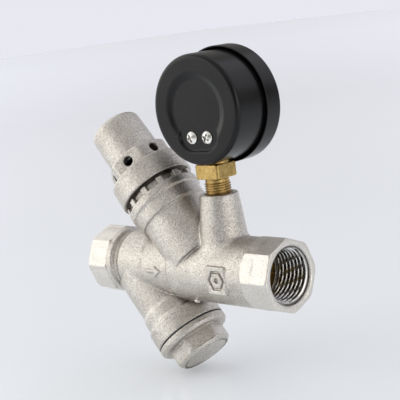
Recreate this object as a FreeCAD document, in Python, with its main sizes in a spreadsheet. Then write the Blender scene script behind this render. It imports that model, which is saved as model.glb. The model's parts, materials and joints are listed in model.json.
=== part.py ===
"""Inclined pressure reducing valve with strainer leg, outlet check valve and 40 mm pressure gauge.

Frame, in millimetres: origin at the centre of the inlet mouth, +X along the flow to the
outlet, +Z up towards the gauge, +Y the side that the dial faces.
"""
import FreeCAD, Part
import math
import os
import re
import Sketcher

Vector = FreeCAD.Vector
Rotation = FreeCAD.Rotation
Placement = FreeCAD.Placement

SIZES = {
    # flow line and its two octagonal ports
    "flow_length": 97.3, "octagon_corner_radius": 13.82, "port_chamfer": 0.9,
    "inlet_octagon_length": 11, "inlet_collar_end": 14, "inlet_collar_radius": 13.2,
    "groove_radius": 11.4, "groove_end": 17.5, "tube_radius": 12.2,
    "outlet_tube_start": 46, "outlet_tube_radius": 13, "outlet_octagon_length": 13,
    "port_bore_radius": 10.48, "port_bore_length": 16, "port_countersink": 0.7,
    "core_radius": 12,
    # inclined spring housing: where its axis crosses the flow line, and its stations
    "upper_axis_x": 57.95, "tilt": 40.4,
    "barrel_radius": 13.1, "barrel_start": 6.4,
    "collar_two_start": 26, "collar_two_radius": 14.2,
    "collar_one_start": 31.5, "collar_one_radius": 15, "collar_one_end": 35.6,
    "body_neck_radius": 13.2, "body_neck_end": 37.6,
    "lug_count": 12, "lug_radius": 14.3, "lug_width": 2.2, "lug_height": 1.5,
    # inclined strainer leg
    "lower_axis_x": 18.65, "leg_radius": 12.75, "leg_start": 3,
    "leg_step_one": 21.5, "leg_step_one_radius": 13.5, "leg_step_two": 27.3,
    "leg_end": 35.4, "leg_end_radius": 14.6, "leg_step_length": 2.2,
    # gauge boss
    "gauge_axis_x": 66.3, "boss_base": 8, "boss_base_radius": 9.4,
    "boss_top": 29, "boss_top_radius": 7.2,
    "boss_bore_radius": 4.9, "boss_bore_start": 20.5, "sensing_radius": 1.6,
    # passages inside the body
    "inlet_chamber_radius": 7.6, "inlet_chamber_end": 24.5,
    "screen_seat_radius": 8.1, "screen_seat_end": 8,
    "strainer_cavity_radius": 10.7, "plug_thread_radius": 11.45, "plug_thread_start": 27,
    "cross_passage_radius": 4.2, "cross_passage_drop": 6.4,
    "cross_passage_start": 31, "cross_passage_end": 60,
    "under_seat_radius": 5.6, "under_seat_start": -3,
    "seat_bore_radius": 6.4, "seat_start": 4, "seat_end": 10,
    "chamber_radius": 9.6, "diaphragm_seat": 28, "bonnet_thread_radius": 11.95,
    "outlet_passage_radius": 3.2,
    "passage_high_x": 60.5, "passage_high_z": 16, "passage_low_x": 69.5, "passage_low_z": 3.5,
    "check_seat_station": 73, "check_port_start": 67, "check_port_radius": 5,
    "check_bore_radius": 9.5,
    # bonnet
    "spigot_clearance": 0.05, "spigot_start": 30, "rim_start": 38.2, "rim_radius": 15.4,
    "rim_recess_radius": 13.7, "rim_recess_depth": 1.1,
    "shoulder_start": 46.2, "shoulder_radius": 15.05, "shoulder_end": 47,
    "hex_across_flats": 23.4, "hex_corner_radius": 13.2, "hex_end": 54,
    "cap_base_radius": 10.7, "cap_top_radius": 10.3, "bonnet_top": 71, "cap_edge_radius": 2.6,
    "spring_bore_radius": 8.7, "wide_bore_end": 44, "spring_bore_end": 62.5,
    "screw_bore_radius": 5, "vent_count": 6, "vent_radius": 1.9, "vent_station": 50.6,
    # setting mechanism
    "running_clearance": 0.05, "setting_screw_start": 59.2, "setting_screw_end": 68.5,
    "setting_screw_tip_radius": 3, "setting_socket_flats": 5, "setting_socket_depth": 5,
    "spring_cap_radius": 8.4, "spring_cap_start": 57, "spring_cap_end": 60,
    "spring_pilot_radius": 5.4, "spring_pilot_length": 1.5,
    "spring_mean_radius": 7, "spring_wire_radius": 1.15, "spring_turns": 6.5,
    # diaphragm and stem
    "stem_radius": 1.8, "stem_start": -2.4, "stem_end": 35.5,
    "stem_shoulder_radius": 2.8, "stem_shoulder_length": 2,
    "diaphragm_radius": 11.6, "diaphragm_thickness": 1.3,
    "backing_washer_radius": 7, "backing_washer_thickness": 1,
    "spring_plate_radius": 8.4, "spring_plate_thickness": 1.7,
    "spring_plate_hub_length": 1.6, "stem_nut_flats": 5.5, "stem_nut_height": 2.2,
    "slip_ring_bore_radius": 9.9, "guide_start": 19, "guide_thickness": 2.4,
    "stem_seal_wire": 0.6, "guide_hole_radius": 1.2, "guide_hole_circle": 6,
    "guide_hole_count": 4,
    # seat and obturator
    "seat_bore_throat": 3.9, "seat_lip_radius": 4.7, "seat_lip_length": 0.8,
    "seat_seal_wire": 0.4, "obturator_radius": 4.9, "obturator_top": 0.6,
    "disc_seal_radius": 4.4, "disc_seal_thickness": 1.2, "disc_seal_proud": 0.2,
    # strainer
    "screen_radius": 8, "screen_thickness": 0.3, "screen_start": 5, "screen_end": 37.5,
    "screen_hole_radius": 1.1, "screen_hole_rows": 7, "screen_hole_columns": 12,
    "screen_hole_first": 10, "screen_hole_pitch": 3.3,
    "strainer_ring_start": 3.8, "strainer_ring_end": 7, "strainer_ring_bore": 6.9,
    "plug_start": 28.5, "plug_wall_radius": 9.6, "plug_flange_end": 38.9,
    "plug_flange_radius": 14.6, "plug_pocket_end": 40, "plug_pocket_radius": 7,
    "plug_head_radius": 11.5, "plug_head_flats": 20.8, "plug_flats_end": 44.6,
    "plug_end": 46.15, "plug_end_radius": 9.7, "plug_seal_thickness": 0.5,
    "plug_seal_radius": 14.4, "plug_edge_chamfer": 1.1,
    # outlet check valve
    "poppet_radius": 7, "poppet_start": 73.6, "poppet_thickness": 1.6,
    "poppet_stem_radius": 1.5, "poppet_stem_end": 81.3, "poppet_seal_radius": 6.6,
    "poppet_seal_bore": 5.4, "poppet_seal_gap": 0.05,
    "cage_start": 75.8, "cage_end": 81.2, "cage_wall": 1, "cage_hub_radius": 3,
    "cage_hub_start": 78.6, "cage_web_start": 79.4, "cage_hole_count": 6,
    "cage_hole_circle": 5.7, "cage_hole_radius": 1.75,
    "check_spring_wire": 0.25, "check_spring_turns": 4.5, "check_spring_radius": 2.3,
    # gauge stub and socket block
    "stub_thread_radius": 4.86, "stub_start": 21, "stub_thread_end": 33.2,
    "stub_neck_radius": 4.2, "stub_neck_end": 34.7, "stub_square": 11, "stub_square_end": 40.2,
    "socket_block_start": 41.6, "socket_neck_length": 4,
    "stub_bore_radius": 1.5, "socket_block_width": 13, "socket_block_depth": 7.6,
    "socket_block_end": 53.5, "case_hole_radius": 5.7,
    # gauge case, bezel, lens and dial; stations along the gauge axis, 0 on the stub's axis
    "gauge_centre_z": 60.45, "gauge_turn": 3.5, "case_radius": 20.2, "case_back": -7.6, "case_wall": 0.9,
    "case_edge_radius": 1.6, "case_lip_radius": 20.9, "case_lip_start": 9.5, "case_front": 11,
    "dent_radius": 12.3, "dent_depth": 1, "dent_tab_radius": 9.2, "dent_tab_drop": 6.2,
    "bezel_radius": 21.6, "bezel_start": 7.3, "bezel_end": 15.1, "bezel_window_radius": 18.7,
    "bezel_wall": 0.6, "bezel_edge_radius": 0.9,
    "lens_radius": 20.8, "lens_start": 12, "lens_thickness": 1.8,
    "lens_gasket_bore": 19.6, "dial_radius": 19.1, "dial_start": 7.6, "dial_thickness": 0.5,
    "dial_hole_radius": 1.4,
    # pointer and movement
    "pointer_start": 9.3, "pointer_thickness": 0.5, "pointer_length": 14.5,
    "pointer_tail": 5.5, "pointer_hub_radius": 2, "pointer_half_width": 0.55,
    "pointer_rest_angle": 45, "arbor_radius": 0.6, "arbor_start": -1.2, "arbor_end": 9.8,
    "plate_thickness": 0.8, "rear_plate_start": -1, "front_plate_start": 5,
    "plate_half_width": 5.6, "plate_bottom": -12.4, "plate_top": 3.5,
    "pillar_radius": 1, "pillar_spacing": 8.4, "pillar_drop": 11.2, "pillar_rise": 2.2,
    "gear_start": 1.6, "gear_thickness": 1.2, "gear_module": 0.3,
    "pinion_teeth": 8, "sector_teeth_full": 60, "sector_teeth": 11, "sector_swing": 36,
    "sector_tail": 5.2, "sector_arbor_radius": 0.7,
    "tube_coil_radius": 14.6, "tube_half_height": 2, "tube_half_thickness": 0.7,
    "tube_wall": 0.2, "tube_centre_station": -2.2, "tube_start": 27.9, "tube_sweep": 233,
    "link_start": 0.6, "link_thickness": 0.5, "link_pin_radius": 0.35,
    "hair_wire": 0.12, "hair_turns": 3.5, "hair_inner": 1, "hair_outer": 3.2,
    "case_screw_spacing": 7.4, "case_screw_z": 50.4, "case_screw_head_radius": 2.5,
    "case_screw_head_height": 1.4, "case_screw_shank_radius": 1, "case_screw_length": 3.4,
    "flat_cut_depth": 4, "vent_cut_depth": 8, "screen_cut_depth": 3, "cage_cut_depth": 4,
    "case_opening_depth": 8, "block_clearance": 0.2, "block_slot_depth": 3, "screw_cut_depth": 4,
    "recess_length": 2.4, "recess_width": 0.5, "recess_cut_depth": 2, "plate_cut_depth": 3,
    "dial_cut_depth": 3, "dial_screw_head_height": 0.5, "dial_slot_length": 3,
    "dial_slot_width": 0.24, "dial_slot_cut_depth": 1,
    "dial_screw_radius": 1, "dial_screw_spacing": 14,
}

doc = FreeCAD.newDocument("PressureReducingValve")
sheet = doc.addObject("Spreadsheet::Sheet", "Sizes")
for row, (alias, size) in enumerate(SIZES.items(), start=1):
    sheet.set("A%d" % row, alias)
    sheet.set("B%d" % row, str(size))
    sheet.setAlias("B%d" % row, alias)
doc.recompute()


def bound(expression):
    """An expression in plain aliases becomes one that names the sheet."""
    return re.sub(r"\b[a-z][a-z_]+\b(?!\()", lambda word: "Sizes." + word.group(0), str(expression))


def size(expression):
    """The present value of an expression in plain aliases."""
    value = sheet.evalExpression(bound(expression))
    return float(getattr(value, "Value", value))


# ------------------------------------------------------------------ frames
# Each frame is: base (x, y, z) and its turns, each an axis and an angle, all bound to the sheet.
FLOW = (("0", "0", "0"), ((Vector(0, 1, 0), "90"),))
UPPER = (("upper_axis_x", "0", "0"), ((Vector(0, -1, 0), "tilt"),))
LOWER = (("lower_axis_x", "0", "0"), ((Vector(0, 1, 0), "180 - tilt"),))
BOSS = (("gauge_axis_x", "0", "0"), ((Vector(0, 0, 1), "gauge_turn"),))
GAUGE = (("gauge_axis_x", "0", "gauge_centre_z"),
         ((Vector(0, 0, 1), "gauge_turn"), (Vector(-1, 0, 0), "90")))


def place(thing, frame):
    """Put an object in a frame and tie it to the sheet."""
    base, turns = frame
    thing.Placement = frame_of(frame)
    for letter, part in zip("xyz", base):
        if part != "0":
            thing.setExpression("Placement.Base." + letter, bound(part))
    if len(turns) == 1:
        thing.setExpression("Placement.Rotation.Angle", bound(turns[0][1]))
    return thing


def frame_of(frame):
    base, turns = frame
    rotation = Rotation()
    for axis, angle in turns:
        rotation = rotation.multiply(Rotation(axis, size(angle)))
    return Placement(Vector(*[size(part) for part in base]), rotation)


# ------------------------------------------------------------------ makers
def tie(sketch, index, expression):
    sketch.setExpression("Constraints[%d]" % index, bound(expression))


def add_outline(sketch, outline):
    """A closed outline of (across, along) expressions, every corner tied to the sheet."""
    corners = [(size(across), size(along)) for across, along in outline]
    count = len(corners)
    for i in range(count):
        here, there = corners[i], corners[(i + 1) % count]
        sketch.addGeometry(Part.LineSegment(Vector(*here, 0), Vector(*there, 0)))
    for i in range(count):
        sketch.addConstraint(Sketcher.Constraint("Coincident", i, 2, (i + 1) % count, 1))
    for i, (across, along) in enumerate(corners):
        if across == 0:
            sketch.addConstraint(Sketcher.Constraint("PointOnObject", i, 1, -2))
        else:
            tie(sketch, sketch.addConstraint(Sketcher.Constraint("DistanceX", i, 1, across)),
                outline[i][0])
        if along == 0:
            sketch.addConstraint(Sketcher.Constraint("PointOnObject", i, 1, -1))
        else:
            tie(sketch, sketch.addConstraint(Sketcher.Constraint("DistanceY", i, 1, along)),
                outline[i][1])


def origin_plane(body, role):
    return [thing for thing in body.Origin.OriginFeatures if thing.Role == role][0]


def sketch_on(body, name, role):
    sketch = body.newObject("Sketcher::SketchObject", name)
    sketch.AttachmentSupport = [(origin_plane(body, role), "")]
    sketch.MapMode = "FlatFace"
    return sketch


def lathe(name, frame, outline):
    """A turned body: outline holds (radius, station) expressions about the frame's Z."""
    body = doc.addObject("PartDesign::Body", name)
    sketch = sketch_on(body, name + "_outline", "XZ_Plane")
    add_outline(sketch, outline)
    turned = body.newObject("PartDesign::Revolution", name + "_turned")
    turned.Profile = sketch
    turned.ReferenceAxis = (sketch, ["V_Axis"])
    turned.Angle = 360
    place(body, frame)
    return body


def plate(name, frame, outline, start, thickness):
    """A flat body: outline holds (x, y) expressions in the frame, padded along its Z."""
    body = doc.addObject("PartDesign::Body", name)
    sketch = sketch_on(body, name + "_outline", "XY_Plane")
    add_outline(sketch, outline)
    sketch.AttachmentOffset = Placement(Vector(0, 0, size(start)), Rotation())
    sketch.setExpression("AttachmentOffset.Base.z", bound(start))
    pad = body.newObject("PartDesign::Pad", name + "_pad")
    pad.Profile = sketch
    pad.setExpression("Length", bound(thickness))
    place(body, frame)
    return body


def local(frame, x, y, z, turn=None):
    """A placement given inside a frame, as numbers."""
    return frame_of(frame).multiply(Placement(Vector(x, y, z), turn or Rotation()))


def cylinder(name, placement, radius, height):
    solid = doc.addObject("Part::Cylinder", name)
    solid.setExpression("Radius", bound(radius))
    solid.setExpression("Height", bound(height))
    solid.Placement = placement
    return solid


def box(name, placement, length, width, height):
    solid = doc.addObject("Part::Box", name)
    solid.setExpression("Length", bound(length))
    solid.setExpression("Width", bound(width))
    solid.setExpression("Height", bound(height))
    solid.Placement = placement
    return solid


def prism(name, placement, sides, corner_radius, height):
    solid = doc.addObject("Part::Prism", name)
    solid.Polygon = sides
    solid.setExpression("Circumradius", bound(corner_radius))
    solid.setExpression("Height", bound(height))
    solid.Placement = placement
    return solid


def ring(name, placement, mean_radius, wire):
    solid = doc.addObject("Part::Torus", name)
    solid.setExpression("Radius1", bound(mean_radius))
    solid.setExpression("Radius2", bound(wire))
    solid.Placement = placement
    return solid


def fuse(name, pieces):
    joined = doc.addObject("Part::MultiFuse", name)
    joined.Shapes = pieces
    joined.Refine = True
    return joined


def cut(name, base, tools):
    result = doc.addObject("Part::Cut", name)
    result.Base = base
    result.Tool = tools[0] if len(tools) == 1 else fuse(name + "_tools", tools)
    return result


def common(name, base, tool):
    result = doc.addObject("Part::Common", name)
    result.Base = base
    result.Tool = tool
    return result


def coil(name, frame, mean_radius, wire, bottom, top, turns):
    """A round-wire compression spring between two stations."""
    helix = doc.addObject("Part::Helix", name + "_line")
    helix.setExpression("Radius", bound(mean_radius))
    helix.setExpression("Height", bound("(%s) - (%s) - 2.2 * (%s)" % (top, bottom, wire)))
    helix.setExpression("Pitch", bound("((%s) - (%s) - 2.2 * (%s)) / (%s)" % (top, bottom, wire, turns)))
    start = local(frame, 0, 0, size("%s + 1.1 * (%s)" % (bottom, wire)))
    helix.Placement = start
    section = doc.addObject("Part::Circle", name + "_wire")
    section.setExpression("Radius", bound(wire))
    section.Placement = start.multiply(
        Placement(Vector(size(mean_radius), 0, 0), Rotation(Vector(1, 0, 0), 90)))
    doc.recompute()
    sweep = doc.addObject("Part::Sweep", name)
    sweep.Sections = [section]
    sweep.Spine = (helix, ["Edge%d" % (i + 1) for i in range(len(helix.Shape.Edges))])
    sweep.Solid = True
    sweep.Frenet = True
    return sweep


def own_shape(name, shape, frame):
    """A shape made in a frame's own axes, as an object of the document."""
    feature = doc.addObject("Part::Feature", name)
    feature.Shape = shape
    feature.Placement = frame_of(frame).multiply(shape.Placement)
    return feature


def around(frame, count, radius, station, first=0):
    """Radial placements whose Z points outwards, spaced round the frame's axis."""
    spots = []
    for i in range(count):
        turn = Rotation(Vector(0, 0, 1), first + 360 * i / count)
        outwards = turn.multiply(Rotation(Vector(0, 1, 0), 90))
        start = turn.multVec(Vector(radius, 0, 0)) + Vector(0, 0, station)
        spots.append(frame_of(frame).multiply(Placement(start, outwards)))
    return spots


def circle_spots(frame, count, radius, station, first=0):
    """Placements along the frame's axis, on a circle round it."""
    spots = []
    for i in range(count):
        turn = Rotation(Vector(0, 0, 1), first + 360 * i / count)
        start = turn.multVec(Vector(radius, 0, 0)) + Vector(0, 0, station)
        spots.append(frame_of(frame).multiply(Placement(start, turn)))
    return spots


# ------------------------------------------------------------------ valve body
def port_octagon(name, start, length, blank_outline):
    """An octagonal port with its corners turned off at the mouth."""
    raw = prism(name + "_raw", local(FLOW, 0, 0, size(start)), 8, "octagon_corner_radius", length)
    return common(name, raw, lathe(name + "_blank", FLOW, blank_outline))


def valve_body():
    tall = "octagon_corner_radius + 1"
    inlet = port_octagon("inlet_octagon", "0", "inlet_octagon_length", [
        ("0", "0"), ("octagon_corner_radius - port_chamfer", "0"),
        ("octagon_corner_radius", "port_chamfer * 0.6"),
        (tall, "port_chamfer * 0.6 + 1"), (tall, "inlet_octagon_length + 1"),
        ("0", "inlet_octagon_length + 1")])
    mouth = "flow_length"
    start = "flow_length - outlet_octagon_length"
    outlet = port_octagon("outlet_octagon", start, "outlet_octagon_length", [
        ("0", start), ("outlet_tube_radius - 0.2", start),
        (tall, start + " + 2.6"), (tall, mouth + " - port_chamfer * 0.6 - 1"),
        ("octagon_corner_radius", mouth + " - port_chamfer * 0.6"),
        ("octagon_corner_radius - port_chamfer", mouth), ("0", mouth)])
    line = lathe("flow_line", FLOW, [
        ("0", "1"), ("core_radius", "1"), ("core_radius", "inlet_octagon_length"),
        ("inlet_collar_radius", "inlet_octagon_length"),
        ("inlet_collar_radius", "inlet_collar_end - 0.6"),
        ("inlet_collar_radius - 0.6", "inlet_collar_end"),
        ("groove_radius", "inlet_collar_end + 0.9"), ("groove_radius", "groove_end - 1.2"),
        ("tube_radius", "groove_end"), ("tube_radius", "outlet_tube_start"),
        ("outlet_tube_radius - 0.2", "outlet_tube_start + 0.5"),
        ("outlet_tube_radius", "outlet_tube_start + 1.6"),
        ("outlet_tube_radius", "flow_length - outlet_octagon_length + 0.5"),
        ("core_radius", "flow_length - outlet_octagon_length + 1.5"),
        ("core_radius", "flow_length - 1"), ("0", "flow_length - 1")])
    barrel = lathe("spring_barrel", UPPER, [
        ("0", "barrel_start"), ("barrel_radius", "barrel_start"),
        ("barrel_radius", "collar_two_start"),
        ("collar_two_radius", "collar_two_start + 0.9"),
        ("collar_two_radius", "collar_one_start"),
        ("collar_one_radius", "collar_one_start + 0.7"),
        ("collar_one_radius", "collar_one_end - 0.6"),
        ("collar_one_radius - 0.7", "collar_one_end"),
        ("body_neck_radius", "collar_one_end"), ("body_neck_radius", "body_neck_end"),
        ("0", "body_neck_end")])
    leg = lathe("strainer_leg", LOWER, [
        ("0", "leg_start"), ("leg_radius", "leg_start"), ("leg_radius", "leg_step_one"),
        ("leg_step_one_radius", "leg_step_one + leg_step_length"),
        ("leg_step_one_radius", "leg_step_two"),
        ("leg_end_radius", "leg_step_two + leg_step_length"),
        ("leg_end_radius", "leg_end - 0.3"), ("leg_end_radius - 0.3", "leg_end"),
        ("0", "leg_end")])
    boss = lathe("gauge_boss", BOSS, [
        ("0", "boss_base"), ("boss_base_radius", "boss_base"),
        ("boss_top_radius", "boss_top - 0.6"), ("boss_top_radius - 0.6", "boss_top"),
        ("0", "boss_top")])
    lugs = []
    inner = size("body_neck_radius - 1")
    for i, spot in enumerate(around(UPPER, int(size("lug_count")), inner,
                                    size("collar_one_end - 0.1"), 27)):
        corner = spot.multiply(Placement(Vector(-size("lug_height"), -size("lug_width / 2"), 0),
                                         Rotation()))
        lugs.append(box("collar_lug_%d" % i, corner, "lug_height", "lug_width",
                        "lug_radius - body_neck_radius + 1"))
    outside = fuse("body_outside", [inlet, outlet, line, barrel, leg, boss] + lugs)
    result = cut("valve_body", outside, body_passages())
    return result


def port_bore(name, mouth, inwards):
    """A port's bore at the thread's major radius, with a countersunk mouth."""
    deep = "%s %s port_bore_length" % (mouth, inwards)
    return lathe(name, FLOW, [
        ("0", mouth), ("port_bore_radius + port_countersink", mouth),
        ("port_bore_radius", "%s %s port_countersink" % (mouth, inwards)),
        ("port_bore_radius", deep), ("0", deep)])


def body_passages():
    """Every bore and passage of the body, as solids to take away."""
    inlet = lathe("inlet_bore", FLOW, [
        ("0", "-1"), ("port_bore_radius + port_countersink", "-1"),
        ("port_bore_radius + port_countersink", "0"), ("port_bore_radius", "port_countersink"),
        ("port_bore_radius", "port_bore_length - 1"), ("0", "port_bore_length - 1")])
    chamber = cylinder("inlet_chamber", local(FLOW, 0, 0, 10), "inlet_chamber_radius",
                       "inlet_chamber_end - 10")
    strainer = lathe("strainer_cavity", LOWER, [
        ("0", "0"), ("screen_seat_radius", "0"), ("screen_seat_radius", "screen_seat_end"),
        ("strainer_cavity_radius", "screen_seat_end"),
        ("strainer_cavity_radius", "plug_thread_start"),
        ("plug_thread_radius", "plug_thread_start + 0.7"), ("plug_thread_radius", "leg_end + 1"),
        ("0", "leg_end + 1")])
    across = cylinder("cross_passage",
                      Placement(Vector(size("cross_passage_start"), 0, -size("cross_passage_drop")),
                                Rotation(Vector(0, 1, 0), 90)),
                      "cross_passage_radius", "cross_passage_end - cross_passage_start")
    works = lathe("spring_side_bore", UPPER, [
        ("0", "under_seat_start"), ("under_seat_radius", "under_seat_start"),
        ("under_seat_radius", "seat_start"), ("seat_bore_radius", "seat_start"),
        ("seat_bore_radius", "seat_end"), ("chamber_radius", "seat_end"),
        ("chamber_radius", "diaphragm_seat"), ("bonnet_thread_radius", "diaphragm_seat"),
        ("bonnet_thread_radius", "body_neck_end + 1"), ("0", "body_neck_end + 1")])
    high = Vector(size("passage_high_x"), 0, size("passage_high_z"))
    low = Vector(size("passage_low_x"), 0, size("passage_low_z"))
    run = low - high
    down = cylinder("outlet_passage", Placement(high, Rotation(Vector(0, 0, 1), run)),
                    "outlet_passage_radius", repr(run.Length))
    outlet = lathe("outlet_bore", FLOW, [
        ("0", "check_port_start"), ("check_port_radius", "check_port_start"),
        ("check_port_radius", "check_seat_station"), ("check_bore_radius", "check_seat_station"),
        ("check_bore_radius", "flow_length - port_bore_length"),
        ("port_bore_radius", "flow_length - port_bore_length"),
        ("port_bore_radius", "flow_length - port_countersink"),
        ("port_bore_radius + port_countersink", "flow_length"),
        ("port_bore_radius + port_countersink", "flow_length + 1"), ("0", "flow_length + 1")])
    sensing = lathe("gauge_port", BOSS, [
        ("0", "boss_base"), ("sensing_radius", "boss_base"),
        ("sensing_radius", "boss_bore_start - 1.5"), ("boss_bore_radius", "boss_bore_start"),
        ("boss_bore_radius", "boss_top - 0.5"), ("boss_bore_radius + 0.5", "boss_top"),
        ("boss_bore_radius + 0.5", "boss_top + 1"), ("0", "boss_top + 1")])
    return [inlet, chamber, strainer, across, works, down, outlet, sensing]


# ------------------------------------------------------------------ bonnet and setting
def bonnet():
    turned = lathe("bonnet_turned", UPPER, [
        ("spring_bore_radius + 1", "spigot_start"),
        ("bonnet_thread_radius - spigot_clearance", "spigot_start"),
        ("bonnet_thread_radius - spigot_clearance", "rim_start + rim_recess_depth"),
        ("rim_recess_radius", "rim_start + rim_recess_depth"),
        ("rim_recess_radius + 0.4", "rim_start"), ("rim_radius - 0.3", "rim_start"),
        ("rim_radius", "rim_start + 0.3"), ("shoulder_radius", "shoulder_start"),
        ("shoulder_radius - 0.9", "shoulder_end"), ("hex_corner_radius - 0.2", "shoulder_end + 0.4"),
        ("hex_corner_radius - 0.2", "hex_end - 1"), ("hex_corner_radius - 1.6", "hex_end"),
        ("cap_base_radius", "hex_end + 0.4"),
        ("cap_top_radius + 0.05", "bonnet_top - cap_edge_radius"),
        ("cap_top_radius - cap_edge_radius * 0.3", "bonnet_top - cap_edge_radius * 0.3"),
        ("cap_top_radius - cap_edge_radius", "bonnet_top"),
        ("screw_bore_radius", "bonnet_top"), ("screw_bore_radius", "spring_bore_end"),
        ("spring_bore_radius", "spring_bore_end"), ("spring_bore_radius", "wide_bore_end + 1"),
        ("spring_bore_radius + 1", "wide_bore_end")])
    cutters = []
    flats = int(size("vent_count"))
    for i, spot in enumerate(around(UPPER, flats, size("hex_across_flats / 2"),
                                    size("shoulder_end + 0.4"))):
        side = size("hex_across_flats")
        corner = spot.multiply(Placement(Vector(-size("hex_end - shoulder_end"), -side / 2, 0),
                                         Rotation()))
        cutters.append(box("bonnet_flat_%d" % i, corner, "hex_end - shoulder_end",
                           "hex_across_flats", "flat_cut_depth"))
    for i, spot in enumerate(around(UPPER, flats, size("spring_bore_radius - 2"),
                                    size("vent_station"))):
        cutters.append(cylinder("bonnet_vent_%d" % i, spot, "vent_radius", "vent_cut_depth"))
    return cut("bonnet", turned, cutters)


def adjusting_screw():
    blank = lathe("adjusting_screw_blank", UPPER, [
        ("0", "setting_screw_start"), ("setting_screw_tip_radius", "setting_screw_start"),
        ("setting_screw_tip_radius", "spring_cap_end + 0.4"),
        ("screw_bore_radius - running_clearance", "spring_cap_end + 1.4"),
        ("screw_bore_radius - running_clearance", "setting_screw_end - 0.6"),
        ("screw_bore_radius - 0.6", "setting_screw_end"), ("0", "setting_screw_end")])
    socket = prism("setting_socket", local(UPPER, 0, 0, size("setting_screw_end - setting_socket_depth")),
                   6, "setting_socket_flats / sqrt(3)", "setting_socket_depth + 1")
    return cut("adjusting_screw", blank, [socket])


def spring_cap():
    return lathe("spring_cap", UPPER, [
        ("0", "spring_cap_start - spring_pilot_length"),
        ("spring_pilot_radius", "spring_cap_start - spring_pilot_length"),
        ("spring_pilot_radius", "spring_cap_start"), ("spring_cap_radius", "spring_cap_start"),
        ("spring_cap_radius", "spring_cap_end"), ("setting_screw_tip_radius + 0.3", "spring_cap_end"),
        ("setting_screw_tip_radius + 0.3", "setting_screw_start - 0.05"),
        ("0", "setting_screw_start - 0.05")])


def main_spring():
    return coil("main_spring", UPPER, "spring_mean_radius", "spring_wire_radius",
                "diaphragm_seat + diaphragm_thickness + spring_plate_thickness",
                "spring_cap_start", "spring_turns")


# ------------------------------------------------------------------ diaphragm and stem
def stem_pieces():
    """The stem, what it carries, and the guide that it slides in."""
    under = "(diaphragm_seat - backing_washer_thickness)"
    over = "(diaphragm_seat + diaphragm_thickness)"
    plate_top = "(diaphragm_seat + diaphragm_thickness + spring_plate_thickness)"
    hub_top = "(diaphragm_seat + diaphragm_thickness + spring_plate_thickness + spring_plate_hub_length)"
    lathe("stem", UPPER, [
        ("0", "stem_start"), ("stem_radius", "stem_start"),
        ("stem_radius", under + " - stem_shoulder_length"),
        ("stem_shoulder_radius", under + " - stem_shoulder_length"),
        ("stem_shoulder_radius", under), ("stem_radius", under), ("stem_radius", "stem_end - 0.3"),
        ("stem_radius - 0.3", "stem_end"), ("0", "stem_end")])
    lathe("backing_washer", UPPER, [
        ("stem_radius", under), ("backing_washer_radius - 0.3", under),
        ("backing_washer_radius", under + " + 0.3"), ("backing_washer_radius", "diaphragm_seat"),
        ("stem_radius", "diaphragm_seat")])
    lathe("diaphragm", UPPER, [
        ("stem_radius + running_clearance", "diaphragm_seat"), ("diaphragm_radius", "diaphragm_seat"),
        ("diaphragm_radius", over), ("stem_radius + running_clearance", over)])
    lathe("spring_plate", UPPER, [
        ("stem_radius", over), ("spring_plate_radius - 0.5", over),
        ("spring_plate_radius", over + " + 0.5"), ("spring_plate_radius", plate_top),
        ("spring_pilot_radius", plate_top), ("spring_pilot_radius", hub_top),
        ("stem_radius", hub_top)])
    nut = prism("stem_nut_blank", local(UPPER, 0, 0, size(hub_top)), 6,
                "stem_nut_flats / sqrt(3)", "stem_nut_height")
    hole = cylinder("stem_nut_hole", local(UPPER, 0, 0, size(hub_top) - 1), "stem_radius",
                    "stem_nut_height + 2")
    cut("stem_nut", nut, [hole])
    lathe("slip_ring", UPPER, [
        ("slip_ring_bore_radius", over), ("diaphragm_radius", over),
        ("diaphragm_radius", "spigot_start"), ("slip_ring_bore_radius", "spigot_start")])


def stem_guide():
    middle = "(guide_start + guide_thickness / 2)"
    groove = "(stem_radius + 2.1 * stem_seal_wire)"
    disc = lathe("stem_guide_disc", UPPER, [
        ("stem_radius + running_clearance", "guide_start"),
        ("chamber_radius - 0.02", "guide_start"),
        ("chamber_radius - 0.02", "guide_start + guide_thickness"),
        ("stem_radius + running_clearance", "guide_start + guide_thickness"),
        ("stem_radius + running_clearance", middle + " + stem_seal_wire"),
        (groove, middle + " + stem_seal_wire"), (groove, middle + " - stem_seal_wire"),
        ("stem_radius + running_clearance", middle + " - stem_seal_wire")])
    holes = [cylinder("guide_hole_%d" % i, spot, "guide_hole_radius", "guide_thickness + 2")
             for i, spot in enumerate(circle_spots(UPPER, int(size("guide_hole_count")),
                                                   size("guide_hole_circle"),
                                                   size("guide_start") - 1, 45))]
    cut("stem_guide", disc, holes)
    ring("stem_o_ring", local(UPPER, 0, 0, size(middle)),
         "stem_radius + stem_seal_wire + 0.03", "stem_seal_wire")


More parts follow.
